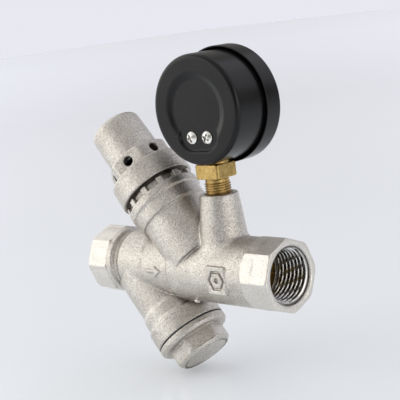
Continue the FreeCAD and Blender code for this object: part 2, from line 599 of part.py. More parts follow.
# ------------------------------------------------------------------ seat and obturator
def seat_pieces():
    middle = "((seat_start + seat_end) / 2)"
    groove = "(seat_bore_radius - 0.02 - 2 * seat_seal_wire)"
    outer = "seat_bore_radius - 0.02"
    lathe("seat_ring", UPPER, [
        ("seat_bore_throat", "seat_start - seat_lip_length"),
        ("seat_lip_radius", "seat_start - seat_lip_length"),
        ("under_seat_radius - 0.1", "seat_start"), (outer, "seat_start"),
        (outer, middle + " - seat_seal_wire"), (groove, middle + " - seat_seal_wire"),
        (groove, middle + " + seat_seal_wire"), (outer, middle + " + seat_seal_wire"),
        (outer, "seat_end"), ("seat_bore_throat + 1", "seat_end"),
        ("seat_bore_throat", "seat_end - 1")])
    ring("seat_o_ring", local(UPPER, 0, 0, size(middle)),
         "seat_bore_radius - 0.02 - seat_seal_wire", "seat_seal_wire")
    seal_floor = "(obturator_top - disc_seal_thickness)"
    lathe("obturator", UPPER, [
        ("stem_radius", "stem_start"), ("obturator_radius - 0.5", "stem_start"),
        ("obturator_radius", "stem_start + 0.5"), ("obturator_radius", "obturator_top"),
        ("disc_seal_radius", "obturator_top"), ("disc_seal_radius", seal_floor),
        ("stem_radius", seal_floor)])
    lathe("disc_seal", UPPER, [
        ("stem_radius", seal_floor), ("disc_seal_radius", seal_floor),
        ("disc_seal_radius", "obturator_top"),
        ("disc_seal_radius - disc_seal_proud", "obturator_top + disc_seal_proud"),
        ("stem_radius", "obturator_top + disc_seal_proud")])


# ------------------------------------------------------------------ strainer
def strainer_pieces():
    inner = "screen_radius - screen_thickness"
    tube = lathe("strainer_screen_tube", LOWER, [
        (inner, "screen_start"), ("screen_radius", "screen_start"),
        ("screen_radius", "screen_end"), (inner, "screen_end")])
    holes = []
    columns = int(size("screen_hole_columns"))
    for row in range(int(size("screen_hole_rows"))):
        station = size("screen_hole_first + %d * screen_hole_pitch" % row)
        for column, spot in enumerate(around(LOWER, columns, size("screen_radius - 1.5"), station,
                                             180 / columns * (row % 2))):
            holes.append(cylinder("screen_hole_%d_%d" % (row, column), spot,
                                  "screen_hole_radius", "screen_cut_depth"))
    cut("strainer_screen", tube, holes)
    lathe("strainer_ring", LOWER, [
        ("strainer_ring_bore", "strainer_ring_start"),
        ("screen_seat_radius - 0.05", "strainer_ring_start"),
        ("screen_seat_radius - 0.05", "screen_start"), (inner, "screen_start"),
        (inner, "strainer_ring_end"), ("strainer_ring_bore", "strainer_ring_end")])
    flange_start = "(leg_end + plug_seal_thickness)"
    blank = lathe("strainer_plug_turned", LOWER, [
        ("plug_wall_radius", "plug_start"), ("plug_thread_radius - 0.75", "plug_start"),
        ("plug_thread_radius - spigot_clearance", "plug_start + 0.7"),
        ("plug_thread_radius - spigot_clearance", flange_start),
        ("plug_flange_radius - 0.2", flange_start),
        ("plug_flange_radius", flange_start + " + 0.3"),
        ("plug_flange_radius", "plug_flange_end - plug_edge_chamfer"),
        ("plug_flange_radius - plug_edge_chamfer", "plug_flange_end"),
        ("plug_head_radius", "plug_flange_end"),
        ("plug_head_radius", "plug_end - 1.1"), ("plug_end_radius", "plug_end"),
        ("0", "plug_end"), ("0", "plug_pocket_end"),
        ("plug_pocket_radius", "plug_pocket_end"), ("plug_pocket_radius", "screen_end"),
        ("screen_radius + 0.05", "screen_end"), ("screen_radius + 0.05", "screen_end - 1.5"),
        ("plug_wall_radius", "screen_end - 3")])
    flats = []
    long = "plug_flats_end - plug_flange_end"
    for i, spot in enumerate(around(LOWER, 6, size("plug_head_flats / 2"),
                                    size("plug_flats_end"), 30)):
        corner = spot.multiply(Placement(Vector(0, -size("plug_head_flats / 2"), 0), Rotation()))
        flats.append(box("plug_flat_%d" % i, corner, long, "plug_head_flats", "2"))
    cut("strainer_plug", blank, flats)
    lathe("plug_seal", LOWER, [
        ("plug_thread_radius", "leg_end"), ("plug_seal_radius", "leg_end"),
        ("plug_seal_radius", flange_start), ("plug_thread_radius", flange_start)])


# ------------------------------------------------------------------ outlet check valve
def check_valve():
    outer = "check_bore_radius - 0.02"
    inner = "check_bore_radius - 0.02 - cage_wall"
    cage = lathe("check_cage_turned", FLOW, [
        (inner, "cage_start"), (outer, "cage_start"), (outer, "cage_end"),
        ("poppet_stem_radius + running_clearance", "cage_end"),
        ("poppet_stem_radius + running_clearance", "cage_hub_start"),
        ("cage_hub_radius", "cage_hub_start"), ("cage_hub_radius", "cage_web_start"),
        (inner, "cage_web_start")])
    holes = [cylinder("cage_hole_%d" % i, spot, "cage_hole_radius", "cage_cut_depth")
             for i, spot in enumerate(circle_spots(FLOW, int(size("cage_hole_count")),
                                                   size("cage_hole_circle"),
                                                   size("cage_web_start") - 1, 30))]
    cut("check_cage", cage, holes)
    seal_back = "(poppet_start + 0.6)"
    lathe("check_poppet", FLOW, [
        ("0", "poppet_start"), ("poppet_seal_bore", "poppet_start"), ("poppet_seal_bore", seal_back),
        ("poppet_seal_radius", seal_back), ("poppet_seal_radius", "poppet_start"),
        ("poppet_radius", "poppet_start"), ("poppet_radius", "poppet_start + poppet_thickness"),
        ("poppet_stem_radius", "poppet_start + poppet_thickness"),
        ("poppet_stem_radius", "poppet_stem_end"), ("0", "poppet_stem_end")])
    lathe("check_seal", FLOW, [
        ("poppet_seal_bore", "check_seat_station + poppet_seal_gap"),
        ("poppet_seal_radius", "check_seat_station + poppet_seal_gap"),
        ("poppet_seal_radius", seal_back), ("poppet_seal_bore", seal_back)])
    coil("check_spring", FLOW, "check_spring_radius", "check_spring_wire",
         "poppet_start + poppet_thickness", "cage_hub_start", "check_spring_turns")


# ------------------------------------------------------------------ gauge shell
def gauge_socket():
    """The brass stub with its square, and the block that holds the pressure tube."""
    stub = lathe("gauge_stub", BOSS, [
        ("stub_bore_radius", "stub_start"), ("stub_thread_radius - 0.6", "stub_start"),
        ("stub_thread_radius", "stub_start + 0.6"), ("stub_thread_radius", "stub_thread_end"),
        ("stub_neck_radius", "stub_thread_end + 0.4"), ("stub_neck_radius", "stub_neck_end"),
        ("stub_neck_radius", "socket_block_start + 0.5"),
        ("stub_bore_radius", "socket_block_start + 0.5")])
    half = size("stub_square / 2")
    square = box("gauge_square", local(BOSS, -half, -half, size("stub_neck_end")),
                 "stub_square", "stub_square", "stub_square_end - stub_neck_end")
    corners = lathe("gauge_square_blank", BOSS, [
        ("0", "stub_neck_end"), ("stub_square * 0.62", "stub_neck_end"),
        ("stub_square * 0.69", "stub_neck_end + 0.6"), ("stub_square * 0.69", "stub_square_end - 0.6"),
        ("stub_square * 0.6", "stub_square_end"), ("0", "stub_square_end")])
    trimmed = common("gauge_square_trimmed", square, corners)
    neck = cylinder("gauge_socket_neck",
                    local(BOSS, 0, 0, size("socket_block_start - socket_neck_length + 1")),
                    "case_hole_radius - 0.3", "socket_neck_length")
    width = size("socket_block_width / 2")
    block = box("gauge_socket_block",
                local(BOSS, -width, size("case_back + case_wall + dent_depth"),
                      size("socket_block_start")),
                "socket_block_width", "socket_block_depth - 3",
                "socket_block_end - socket_block_start")
    drilling = cylinder("gauge_drilling", local(BOSS, 0, 0, size("stub_start")),
                        "stub_bore_radius", "socket_block_start - stub_start + 4")
    screws = [cylinder("socket_screw_hole_%d" % i, spot, "case_screw_shank_radius", "case_screw_length")
              for i, spot in enumerate(case_screw_spots("case_back + dent_depth"))]
    whole = fuse("gauge_socket_whole", [stub, trimmed, neck, block])
    return cut("gauge_socket", whole, [drilling] + screws)


def case_screw_spots(station):
    """Where the two case screws start, pointing inwards."""
    spots = []
    for side in (-0.5, 0.5):
        spots.append(local(GAUGE, side * size("case_screw_spacing"),
                           size("gauge_centre_z - case_screw_z"), size(station)))
    return spots


def keyhole(name, start, depth, grow):
    """The round dent of the case back with its lower tab, as one solid."""
    disc = cylinder(name + "_round", local(GAUGE, 0, 0, size(start)), "dent_radius + " + grow, depth)
    tab = cylinder(name + "_tab", local(GAUGE, 0, size("dent_tab_drop"), size(start)),
                   "dent_tab_radius + " + grow, depth)
    return fuse(name, [disc, tab])


def gauge_case():
    """A drawn cup: rounded back edge, pressed dent, front lip under the bezel."""
    wall = "case_wall"
    edge = "case_edge_radius"
    cup = lathe("gauge_case_cup", GAUGE, [
        ("0", "case_back"), ("case_radius - " + edge, "case_back"),
        ("case_radius - %s * 0.3" % edge, "case_back + %s * 0.3" % edge),
        ("case_radius", "case_back + " + edge), ("case_radius", "case_lip_start"),
        ("case_lip_radius", "case_lip_start + 0.4"), ("case_lip_radius", "case_front"),
        ("case_radius - " + wall, "case_front"),
        ("case_radius - " + wall, "case_back + " + edge),
        ("case_radius - %s - %s * 0.3" % (edge, wall), "case_back + " + wall),
        ("0", "case_back + " + wall)])
    dent_inside = keyhole("case_dent_inside", "case_back + case_wall", "dent_depth", "case_wall")
    shell = fuse("gauge_case_shell", [cup, dent_inside])
    dent = keyhole("case_dent", "case_back - 1", "dent_depth + 1", "0")
    opening = cylinder("case_opening", local(BOSS, 0, 0, size("socket_block_start - 6")),
                       "case_hole_radius", "case_opening_depth")
    slot = box("case_socket_clearance",
               local(BOSS, size("-socket_block_width / 2 - block_clearance"),
                     size("case_back + case_wall + dent_depth - 0.001"),
                     size("socket_block_start - block_clearance")),
               "socket_block_width + 2 * block_clearance", "socket_block_depth - 2", "block_slot_depth")
    holes = [cylinder("case_screw_hole_%d" % i, spot, "case_screw_shank_radius", "screw_cut_depth")
             for i, spot in enumerate(case_screw_spots("case_back - 1"))]
    return cut("gauge_case", shell, [dent, opening, slot] + holes)


def case_screws():
    """Two pan-head screws with a cross recess, from the back into the socket block."""
    solids = []
    for i, spot in enumerate(case_screw_spots("case_back + dent_depth")):
        shank = cylinder("case_screw_shank_%d" % i, spot, "case_screw_shank_radius",
                         "case_screw_length - 0.3")
        back = spot.multiply(Placement(Vector(0, 0, 0), Rotation(Vector(1, 0, 0), 180)))
        dome = doc.addObject("PartDesign::Body", "case_screw_dome_%d" % i)
        sketch = sketch_on(dome, "case_screw_dome_outline_%d" % i, "XZ_Plane")
        add_outline(sketch, [
            ("0", "0"), ("case_screw_head_radius", "0"),
            ("case_screw_head_radius", "case_screw_head_height * 0.4"),
            ("case_screw_head_radius * 0.82", "case_screw_head_height * 0.8"),
            ("case_screw_head_radius * 0.5", "case_screw_head_height"),
            ("0", "case_screw_head_height")])
        turned = dome.newObject("PartDesign::Revolution", "case_screw_dome_turned_%d" % i)
        turned.Profile = sketch
        turned.ReferenceAxis = (sketch, ["V_Axis"])
        turned.Angle = 360
        dome.Placement = back
        recess = []
        for turn in (0, 90):
            spin = Rotation(Vector(0, 0, 1), turn + 20)
            corner = spin.multVec(Vector(-size("recess_length / 2"), -size("recess_width / 2"), 0))
            recess.append(box("case_screw_recess_%d_%d" % (i, turn),
                              back.multiply(Placement(corner + Vector(0, 0, 0.5), spin)),
                              "recess_length", "recess_width", "recess_cut_depth"))
        head = cut("case_screw_head_%d" % i, dome, recess)
        solids.append(fuse("case_screw_%d" % i, [shank, head]))
    return group("case_screws", solids)


def group(name, solids):
    bundle = doc.addObject("Part::Compound", name)
    bundle.Links = solids
    return bundle


def bezel_and_lens():
    wall = "bezel_wall"
    lathe("gauge_bezel", GAUGE, [
        ("bezel_radius - " + wall, "bezel_start"), ("bezel_radius", "bezel_start"),
        ("bezel_radius", "bezel_end - bezel_edge_radius"),
        ("bezel_radius - bezel_edge_radius * 0.3", "bezel_end - bezel_edge_radius * 0.3"),
        ("bezel_radius - bezel_edge_radius", "bezel_end"),
        ("bezel_window_radius + 0.4", "bezel_end"),
        ("bezel_window_radius", "lens_start + lens_thickness"),
        ("bezel_radius - " + wall, "lens_start + lens_thickness")])
    lathe("gauge_lens", GAUGE, [
        ("0", "lens_start"), ("lens_radius", "lens_start"),
        ("lens_radius", "lens_start + lens_thickness"), ("0", "lens_start + lens_thickness")])
    lathe("lens_gasket", GAUGE, [
        ("lens_gasket_bore", "case_front"), ("lens_radius", "case_front"),
        ("lens_radius", "lens_start"), ("lens_gasket_bore", "lens_start")])


def dial_pieces():
    face = lathe("dial_disc", GAUGE, [
        ("dial_hole_radius", "dial_start"), ("dial_radius", "dial_start"),
        ("dial_radius", "dial_start + dial_thickness"),
        ("dial_hole_radius", "dial_start + dial_thickness")])
    holes, screws = [], []
    for side, sign in (("left", -1), ("right", 1)):
        spot = local(GAUGE, sign * size("dial_screw_spacing / 2"), 0, size("dial_start"))
        holes.append(cylinder("dial_hole_" + side, spot.multiply(
            Placement(Vector(0, 0, -1), Rotation())), "dial_screw_radius * 0.6", "dial_cut_depth"))
        shank = cylinder("dial_screw_shank_" + side, spot.multiply(
            Placement(Vector(0, 0, -1.6), Rotation())), "dial_screw_radius * 0.6",
            "dial_thickness + 1.7")
        head = cylinder("dial_screw_head_" + side, spot.multiply(
            Placement(Vector(0, 0, size("dial_thickness")), Rotation())),
            "dial_screw_radius", "dial_screw_head_height")
        slot = box("dial_screw_slot_" + side, spot.multiply(
            Placement(Vector(-size("dial_slot_length / 2"), -size("dial_slot_width / 2"),
                             size("dial_thickness + 0.3")), Rotation())),
            "dial_slot_length", "dial_slot_width", "dial_slot_cut_depth")
        screws.append(cut("dial_screw_" + side, fuse("dial_screw_whole_" + side, [shank, head]), [slot]))
    cut("dial", face, holes)
    group("dial_screws", screws)


# ------------------------------------------------------------------ gauge movement
def gear_outline(teeth, first, last, module, root_depth=1.2, tip_height=0.7, fill=0.4):
    """Corners of straight-sided teeth, from tooth number first to last of a full circle."""
    pitch_radius = teeth * module / 2
    points = []
    for tooth in range(first, last + 1):
        for share, height in ((-0.5, -root_depth), (-fill * 0.75, -root_depth),
                              (-fill * 0.3, tip_height), (fill * 0.3, tip_height),
                              (fill * 0.75, -root_depth)):
            angle = 2 * math.pi * (tooth + share) / teeth
            radius = pitch_radius + height * module
            points.append(Vector(radius * math.cos(angle), radius * math.sin(angle), 0))
    return points


def prism_from(points, start, thickness):
    wire = Part.makePolygon(points + points[:1])
    return Part.Face(wire).extrude(Vector(0, 0, thickness)).translated(Vector(0, 0, start))


def pinion_arbor():
    """The pointer's arbor with its eight-tooth pinion."""
    teeth = int(size("pinion_teeth"))
    wheel = prism_from(gear_outline(teeth, 0, teeth - 1, size("gear_module")), size("gear_start"),
                       size("gear_thickness"))
    arbor = Part.makeCylinder(size("arbor_radius"), size("arbor_end - arbor_start"),
                              Vector(0, 0, size("arbor_start")))
    return own_shape("pinion_arbor", wheel.fuse(arbor).removeSplitter(), GAUGE)


def sector_drop():
    return size("gear_module * (sector_teeth_full + pinion_teeth) / 2")


def sector_gear():
    """A toothed sector on its own arbor below the pinion, with a tail for the link."""
    full = int(size("sector_teeth_full"))
    half = int(size("sector_teeth")) // 2
    teeth = gear_outline(full, -half, half, size("gear_module"))
    teeth = [Rotation(Vector(0, 0, 1), 360 / full / 2).multVec(point) for point in teeth]
    web = prism_from([Vector(0, 0, 0)] + teeth, size("gear_start + 0.1"), size("gear_thickness - 0.2"))
    hub = Part.makeCylinder(1.6, size("gear_thickness - 0.2"), Vector(0, 0, size("gear_start + 0.1")))
    arbor = Part.makeCylinder(size("sector_arbor_radius"), size("front_plate_start + plate_thickness "
                              "- rear_plate_start"), Vector(0, 0, size("rear_plate_start")))
    tail = Part.makeBox(size("sector_tail"), 1.6, size("gear_thickness - 0.2"),
                        Vector(-size("sector_tail"), -0.8, size("gear_start + 0.1")))
    pin = Part.makeCylinder(size("link_pin_radius"), size("gear_start - link_start + 0.7"),
                            Vector(0.9 - size("sector_tail"), 0, size("link_start - 0.4")))
    whole = web.fuse([hub, arbor, tail, pin]).removeSplitter()
    turn = Rotation(Vector(0, 0, 1), -90 - size("sector_swing / 2"))
    whole.Placement = Placement(Vector(0, sector_drop(), 0), turn)
    return own_shape("sector_gear", whole, GAUGE)


def movement_plates():
    """Two plates that carry the arbors, held apart by pillars."""
    outline = [("-plate_half_width", "-plate_top"), ("plate_half_width", "-plate_top"),
               ("plate_half_width", "-plate_bottom"), ("-plate_half_width", "-plate_bottom")]
    for name, start in (("rear_plate", "rear_plate_start"), ("front_plate", "front_plate_start")):
        blank = plate(name + "_blank", GAUGE, outline, start, "plate_thickness")
        holes = [cylinder(name + "_pinion_hole", local(GAUGE, 0, 0, size(start) - 1),
                          "arbor_radius + running_clearance", "plate_cut_depth"),
                 cylinder(name + "_sector_hole", local(GAUGE, 0, sector_drop(), size(start) - 1),
                          "sector_arbor_radius + running_clearance", "plate_cut_depth")]
        cut(name, blank, holes)
    gap = "front_plate_start - rear_plate_start - plate_thickness"
    pillars = []
    for i, (side, down) in enumerate(((-0.5, "pillar_drop"), (0.5, "-pillar_rise"))):
        pillars.append(cylinder("plate_pillar_%d" % i, local(
            GAUGE, side * size("pillar_spacing"), size(down),
            size("rear_plate_start + plate_thickness")), "pillar_radius", gap))
    group("plate_pillars", pillars)


def tube_pieces():
    """The curved pressure tube, soldered into the socket block, and its end piece with the link."""
    start, sweep = size("tube_start"), size("tube_sweep")
    section = []
    for shrink in (0, size("tube_wall")):
        section.append((size("tube_half_height") - shrink, size("tube_half_thickness") - shrink))
    shells = []
    for height, thick in section:
        corners = [Vector(size("tube_coil_radius") + x, 0, z) for x, z in
                   ((-thick, -height), (thick, -height), (thick, height), (-thick, height))]
        face = Part.Face(Part.makePolygon(corners + corners[:1]))
        shells.append(face.revolve(Vector(0, 0, 0), Vector(0, 0, 1), sweep))
    tube = shells[0].cut(shells[1])
    tube.Placement = Placement(Vector(0, 0, size("tube_centre_station")),
                               Rotation(Vector(0, 0, 1), 90 + start))
    own_shape("pressure_tube", tube, GAUGE)
    radius = size("tube_coil_radius")
    end = Part.makeBox(3, 2.6, size("tube_half_height * 2"),
                       Vector(radius - 1.3, 0.02, -size("tube_half_height")))
    eye_height = size("link_start - tube_centre_station - running_clearance")
    eye = Part.makeCylinder(1.1, eye_height, Vector(radius, 1.4, 0))
    pin = Part.makeCylinder(size("link_pin_radius"), size("link_thickness") + 0.6,
                            Vector(radius, 1.4, eye_height))
    tip = end.fuse([eye, pin]).removeSplitter()
    tip.Placement = Placement(Vector(0, 0, size("tube_centre_station")),
                              Rotation(Vector(0, 0, 1), 90 + start + sweep))
    own_shape("tube_tip", tip, GAUGE)


def hairspring():
    """A flat spiral round the arbor that takes up the play in the teeth."""
    inner, outer = size("hair_inner"), size("hair_outer")
    wire = size("hair_wire")
    steps = int(size("hair_turns") * 24)
    near, far = [], []
    for i in range(steps + 1):
        share = i / steps
        angle = 2 * math.pi * size("hair_turns") * share
        radius = inner + (outer - inner) * share
        near.append(Vector((radius - wire) * math.cos(angle), (radius - wire) * math.sin(angle), 0))
        far.append(Vector((radius + wire) * math.cos(angle), (radius + wire) * math.sin(angle), 0))
    return own_shape("hairspring", prism_from(near + far[::-1], 3.4, 0.5), GAUGE)


def pointer():
    """A slim pointer with a counterweight tail, pressed on the arbor."""
    half, length, tail = size("pointer_half_width"), size("pointer_length"), size("pointer_tail")
    outline = [Vector(-tail, -half * 2, 0), Vector(-tail * 0.4, -half, 0), Vector(length * 0.8, -half * 0.6, 0),
               Vector(length, 0, 0), Vector(length * 0.8, half * 0.6, 0), Vector(-tail * 0.4, half, 0),
               Vector(-tail, half * 2, 0)]
    start, thick = size("pointer_start"), size("pointer_thickness")
    blade = prism_from(outline, start, thick)
    hub = Part.makeCylinder(size("pointer_hub_radius"), thick + 0.4, Vector(0, 0, start))
    bore = Part.makeCylinder(size("arbor_radius"), 4, Vector(0, 0, start - 2))
    whole = blade.fuse(hub).cut(bore).removeSplitter()
    whole.Placement = Placement(Vector(), Rotation(Vector(0, 0, 1), size("pointer_rest_angle")))
    return own_shape("pointer", whole, GAUGE)


def make_link():
    """The flat link from the tube's end piece to the sector's tail."""
    tip_turn = Rotation(Vector(0, 0, 1), 90 + size("tube_start + tube_sweep"))
    tip = tip_turn.multVec(Vector(size("tube_coil_radius"), 1.4, 0))
    tail_turn = Rotation(Vector(0, 0, 1), -90 - size("sector_swing / 2"))
    tail = Vector(0, sector_drop(), 0) + tail_turn.multVec(Vector(0.9 - size("sector_tail"), 0, 0))
    run = tail - tip
    thick = size("link_thickness")
    bar = Part.makeBox(run.Length, 1.2, thick, Vector(0, -0.6, 0))
    for spot in (0, run.Length):
        bar = bar.fuse(Part.makeCylinder(0.9, thick, Vector(spot, 0, 0)))
    for spot in (0, run.Length):
        bar = bar.cut(Part.makeCylinder(size("link_pin_radius + running_clearance"), 2,
                                        Vector(spot, 0, -1)))
    bar.Placement = Placement(Vector(tip.x, tip.y, size("link_start")),
                              Rotation(Vector(1, 0, 0), run))
    return own_shape("link", bar, GAUGE)


# ------------------------------------------------------------------ build and write
valve_body()
bonnet()
adjusting_screw()
spring_cap()
main_spring()
stem_pieces()
stem_guide()
seat_pieces()
strainer_pieces()
check_valve()
gauge_socket()
gauge_case()
case_screws()
bezel_and_lens()
dial_pieces()
pinion_arbor()
sector_gear()
movement_plates()
tube_pieces()
hairspring()
pointer()
make_link()
doc.recompute()

SUBPARTS = [
    "valve_body", "bonnet", "adjusting_screw", "spring_cap", "main_spring",
    "stem", "backing_washer", "diaphragm", "spring_plate", "stem_nut", "slip_ring",
    "stem_guide", "stem_o_ring", "seat_ring", "seat_o_ring", "obturator", "disc_seal",
    "strainer_screen", "strainer_ring", "strainer_plug", "plug_seal",
    "check_cage", "check_poppet", "check_seal", "check_spring",
    "gauge_socket", "gauge_case", "case_screws", "gauge_bezel", "gauge_lens", "lens_gasket",
    "dial", "dial_screws", "pointer", "pinion_arbor", "sector_gear", "rear_plate", "front_plate",
    "plate_pillars", "pressure_tube", "tube_tip", "hairspring", "link",
]

for thing in doc.Objects:
    if "Invalid" in thing.State or "Error" in thing.State:
        raise RuntimeError("%s did not recompute: %s" % (thing.Label, thing.State))

os.makedirs("parts", exist_ok=True)
for node in SUBPARTS:
    found = doc.getObjectsByLabel(node)
    if len(found) != 1:
        raise RuntimeError("%d objects are labelled %s" % (len(found), node))
    shape = found[0].Shape
    if shape.isNull() or not shape.isValid() or not shape.Solids:
        raise RuntimeError("%s has no valid solid" % node)
    shape.exportStep("parts/%s.step" % node)
    print("%-16s %d solid %10.2f mm3" % (node, len(shape.Solids), shape.Volume))
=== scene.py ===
import json
import math
import bmesh
import bpy
import numpy as np
import openvdb
from mathutils import Euler, Matrix, Vector


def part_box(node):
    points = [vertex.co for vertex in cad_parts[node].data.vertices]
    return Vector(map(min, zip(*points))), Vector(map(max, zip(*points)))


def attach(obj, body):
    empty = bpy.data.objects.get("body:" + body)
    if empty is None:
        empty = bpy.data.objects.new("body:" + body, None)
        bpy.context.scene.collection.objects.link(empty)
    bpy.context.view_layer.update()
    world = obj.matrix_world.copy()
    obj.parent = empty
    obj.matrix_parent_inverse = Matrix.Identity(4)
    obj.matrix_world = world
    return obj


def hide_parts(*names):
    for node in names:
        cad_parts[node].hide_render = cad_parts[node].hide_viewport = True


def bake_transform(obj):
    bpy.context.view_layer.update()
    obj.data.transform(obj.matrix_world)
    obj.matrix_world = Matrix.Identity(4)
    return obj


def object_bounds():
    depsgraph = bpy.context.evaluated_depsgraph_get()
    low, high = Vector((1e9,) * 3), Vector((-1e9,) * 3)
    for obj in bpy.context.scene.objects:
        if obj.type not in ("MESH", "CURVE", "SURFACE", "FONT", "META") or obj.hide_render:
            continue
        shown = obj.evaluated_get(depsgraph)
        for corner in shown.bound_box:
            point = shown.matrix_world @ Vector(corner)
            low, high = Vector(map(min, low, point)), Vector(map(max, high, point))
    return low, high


# Looks of an inclined pressure reducing valve: cast and machined nickel plated brass body,
# vented spring bonnet, strainer plug, brass gauge stub and a black 40 mm pressure gauge.
# Lengths in the shape code are millimetres, turned into metres when a mesh is made.

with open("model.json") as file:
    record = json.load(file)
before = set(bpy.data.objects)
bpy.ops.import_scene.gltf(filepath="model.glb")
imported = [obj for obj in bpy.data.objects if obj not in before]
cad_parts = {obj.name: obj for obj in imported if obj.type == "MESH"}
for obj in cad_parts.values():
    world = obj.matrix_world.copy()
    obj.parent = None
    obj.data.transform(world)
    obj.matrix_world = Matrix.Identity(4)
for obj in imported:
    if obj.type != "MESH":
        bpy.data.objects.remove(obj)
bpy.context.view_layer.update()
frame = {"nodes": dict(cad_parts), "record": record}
MM = 0.001
STEP_SCALE = 1.0


# ------------------------------------------------------------------ axes of the object
class Axis:
    """A place with three directions: across, sideways and along."""

    def __init__(self, base, across, sideways, along):
        self.base = np.array(base, float)
        self.across = np.array(across, float)
        self.sideways = np.array(sideways, float)
        self.along = np.array(along, float)

    def world(self, points):
        points = np.asarray(points, float)
        return (self.base + points[:, :1] * self.across + points[:, 1:2] * self.sideways
                + points[:, 2:3] * self.along)

    def matrix(self):
        columns = (self.across, self.sideways, self.along)
        turned = Matrix([[columns[c][r] for c in range(3)] for r in range(3)]).to_4x4()
        turned.translation = Vector(self.base * MM)
        return turned


TILT = math.radians(40.4)
COS, SIN = math.cos(TILT), math.sin(TILT)
PORT_LENGTH = 97.3
PORT_BORE = 10.5
OCTAGON_CORNER = 13.82
OCTAGON_CHAMFER = 13.1
PIPE_PITCH = 1.814
PIPE_CREST, PIPE_ROOT, PIPE_COVER = 9.45, 10.42, 10.9
GAUGE_X = 66.3
GAUGE_Z = 60.45
FLOW = Axis((0, 0, 0), (0, 0, -1), (0, 1, 0), (1, 0, 0))
UPPER = Axis((57.95, 0, 0), (COS, 0, SIN), (0, 1, 0), (-SIN, 0, COS))
LOWER = Axis((18.65, 0, 0), (-COS, 0, -SIN), (0, 1, 0), (SIN, 0, -COS))
GAUGE_TURN = math.radians(3.5)
GAUGE_RIGHT = (math.cos(GAUGE_TURN), math.sin(GAUGE_TURN), 0)
GAUGE_OUT = (-math.sin(GAUGE_TURN), math.cos(GAUGE_TURN), 0)
BOSS = Axis((GAUGE_X, 0, 0), GAUGE_RIGHT, GAUGE_OUT, (0, 0, 1))
GAUGE = Axis((GAUGE_X, 0, GAUGE_Z), GAUGE_RIGHT, (0, 0, -1), GAUGE_OUT)


# ------------------------------------------------------------------ solid shapes as distance fields
class Grid:
    """Sample points of a box of space, in an axis frame."""

    def __init__(self, low, high, step):
        self.step = step * STEP_SCALE
        self.low = np.array(low, float)
        counts = [int(math.ceil((h - l) / self.step)) + 1 for l, h in zip(low, high)]
        lines = [self.low[i] + self.step * np.arange(counts[i]) for i in range(3)]
        self.x = lines[0].astype(np.float32)[:, None, None]
        self.y = lines[1].astype(np.float32)[None, :, None]
        self.z = lines[2].astype(np.float32)[None, None, :]

    def seen_from(self, axis):
        """The grid's world points as across, sideways and along values of an axis."""
        px, py, pz = self.x - axis.base[0], self.y - axis.base[1], self.z - axis.base[2]
        parts = []
        for direction in (axis.across, axis.sideways, axis.along):
            dx, dy, dz = (np.float32(v) for v in direction)
            parts.append(px * dx + py * dy + pz * dz)
        return parts

    def round_axis(self):
        """Distance from the grid's own axis and the station along it."""
        radius = np.hypot(self.x, self.y) + 0 * self.z
        return radius, self.z + 0 * radius


def spun(turn, across, sideways):
    """Outward and sidelong distances in a frame spun round its axis."""
    return (across * math.cos(turn) + sideways * math.sin(turn),
            sideways * math.cos(turn) - across * math.sin(turn))


def cylinder(radius, station, size, start, end, edge=0.3):
    """A round bar between two stations with rounded edges."""
    middle, half = (start + end) / 2, (end - start) / 2
    outwards = radius - (size - edge)
    lengthwise = np.abs(station - middle) - (half - edge)
    inside = np.minimum(np.maximum(outwards, lengthwise), 0)
    return inside + np.hypot(np.maximum(outwards, 0), np.maximum(lengthwise, 0)) - edge


def cone(radius, station, first, last, start, end, edge=0.3):
    """A round bar whose radius runs evenly from first to last."""
    slope = (last - first) / (end - start)
    lean = 1 / math.hypot(1, slope)
    middle, half = (start + end) / 2, (end - start) / 2
    outwards = (radius - (first + (station - start) * slope)) * lean + edge
    lengthwise = np.abs(station - middle) - (half - edge)
    inside = np.minimum(np.maximum(outwards, lengthwise), 0)
    return inside + np.hypot(np.maximum(outwards, 0), np.maximum(lengthwise, 0)) - edge


def polygon_bar(across, sideways, station, sides, flat, start, end, first=0.0, edge=0.3):
    """A straight bar with equal flats; flat is half the distance across them."""
    outwards = None
    for i in range(sides):
        turn = math.radians(first) + 2 * math.pi * i / sides
        away = across * math.cos(turn) + sideways * math.sin(turn) - (flat - edge)
        outwards = away if outwards is None else np.maximum(outwards, away)
    middle, half = (start + end) / 2, (end - start) / 2
    lengthwise = np.abs(station - middle) - (half - edge)
    inside = np.minimum(np.maximum(outwards, lengthwise), 0)
    return inside + np.hypot(np.maximum(outwards, 0), np.maximum(lengthwise, 0)) - edge


def block(across, sideways, along, centre, half, edge=0.3):
    """A straight-sided block with rounded edges."""
    gaps = [np.abs(value - middle) - (reach - edge)
            for value, middle, reach in zip((across, sideways, along), centre, half)]
    inside = np.minimum(np.maximum(np.maximum(gaps[0], gaps[1]), gaps[2]), 0)
    outside = np.sqrt(np.maximum(gaps[0], 0) ** 2 + np.maximum(gaps[1], 0) ** 2
                      + np.maximum(gaps[2], 0) ** 2)
    return inside + outside - edge


def melt(first, second, blend):
    """Two solids joined with a fillet about as large as blend."""
    share = np.clip(0.5 + 0.5 * (second - first) / blend, 0, 1)
    return second + (first - second) * share - blend * share * (1 - share)


def carve(solid, tool, blend=0.3):
    """A solid less a tool, with its new edges eased by blend."""
    return -melt(-solid, tool, blend)


def overlap(first, second, blend=0.3):
    return -melt(-first, -second, blend)


def skin(name, field, grid, axis=None):
    """The surface of a distance field as a smooth mesh."""
    volume = openvdb.FloatGrid(float(4 * grid.step))
    volume.copyFromArray(np.ascontiguousarray(np.clip(field, -4 * grid.step, 4 * grid.step), np.float32))
    points, quads = volume.convertToQuads()
    points = grid.low + points.astype(float) * grid.step
    if axis is not None:
        points = axis.world(points)
    return mesh_object(name, points, quads[:, ::-1])


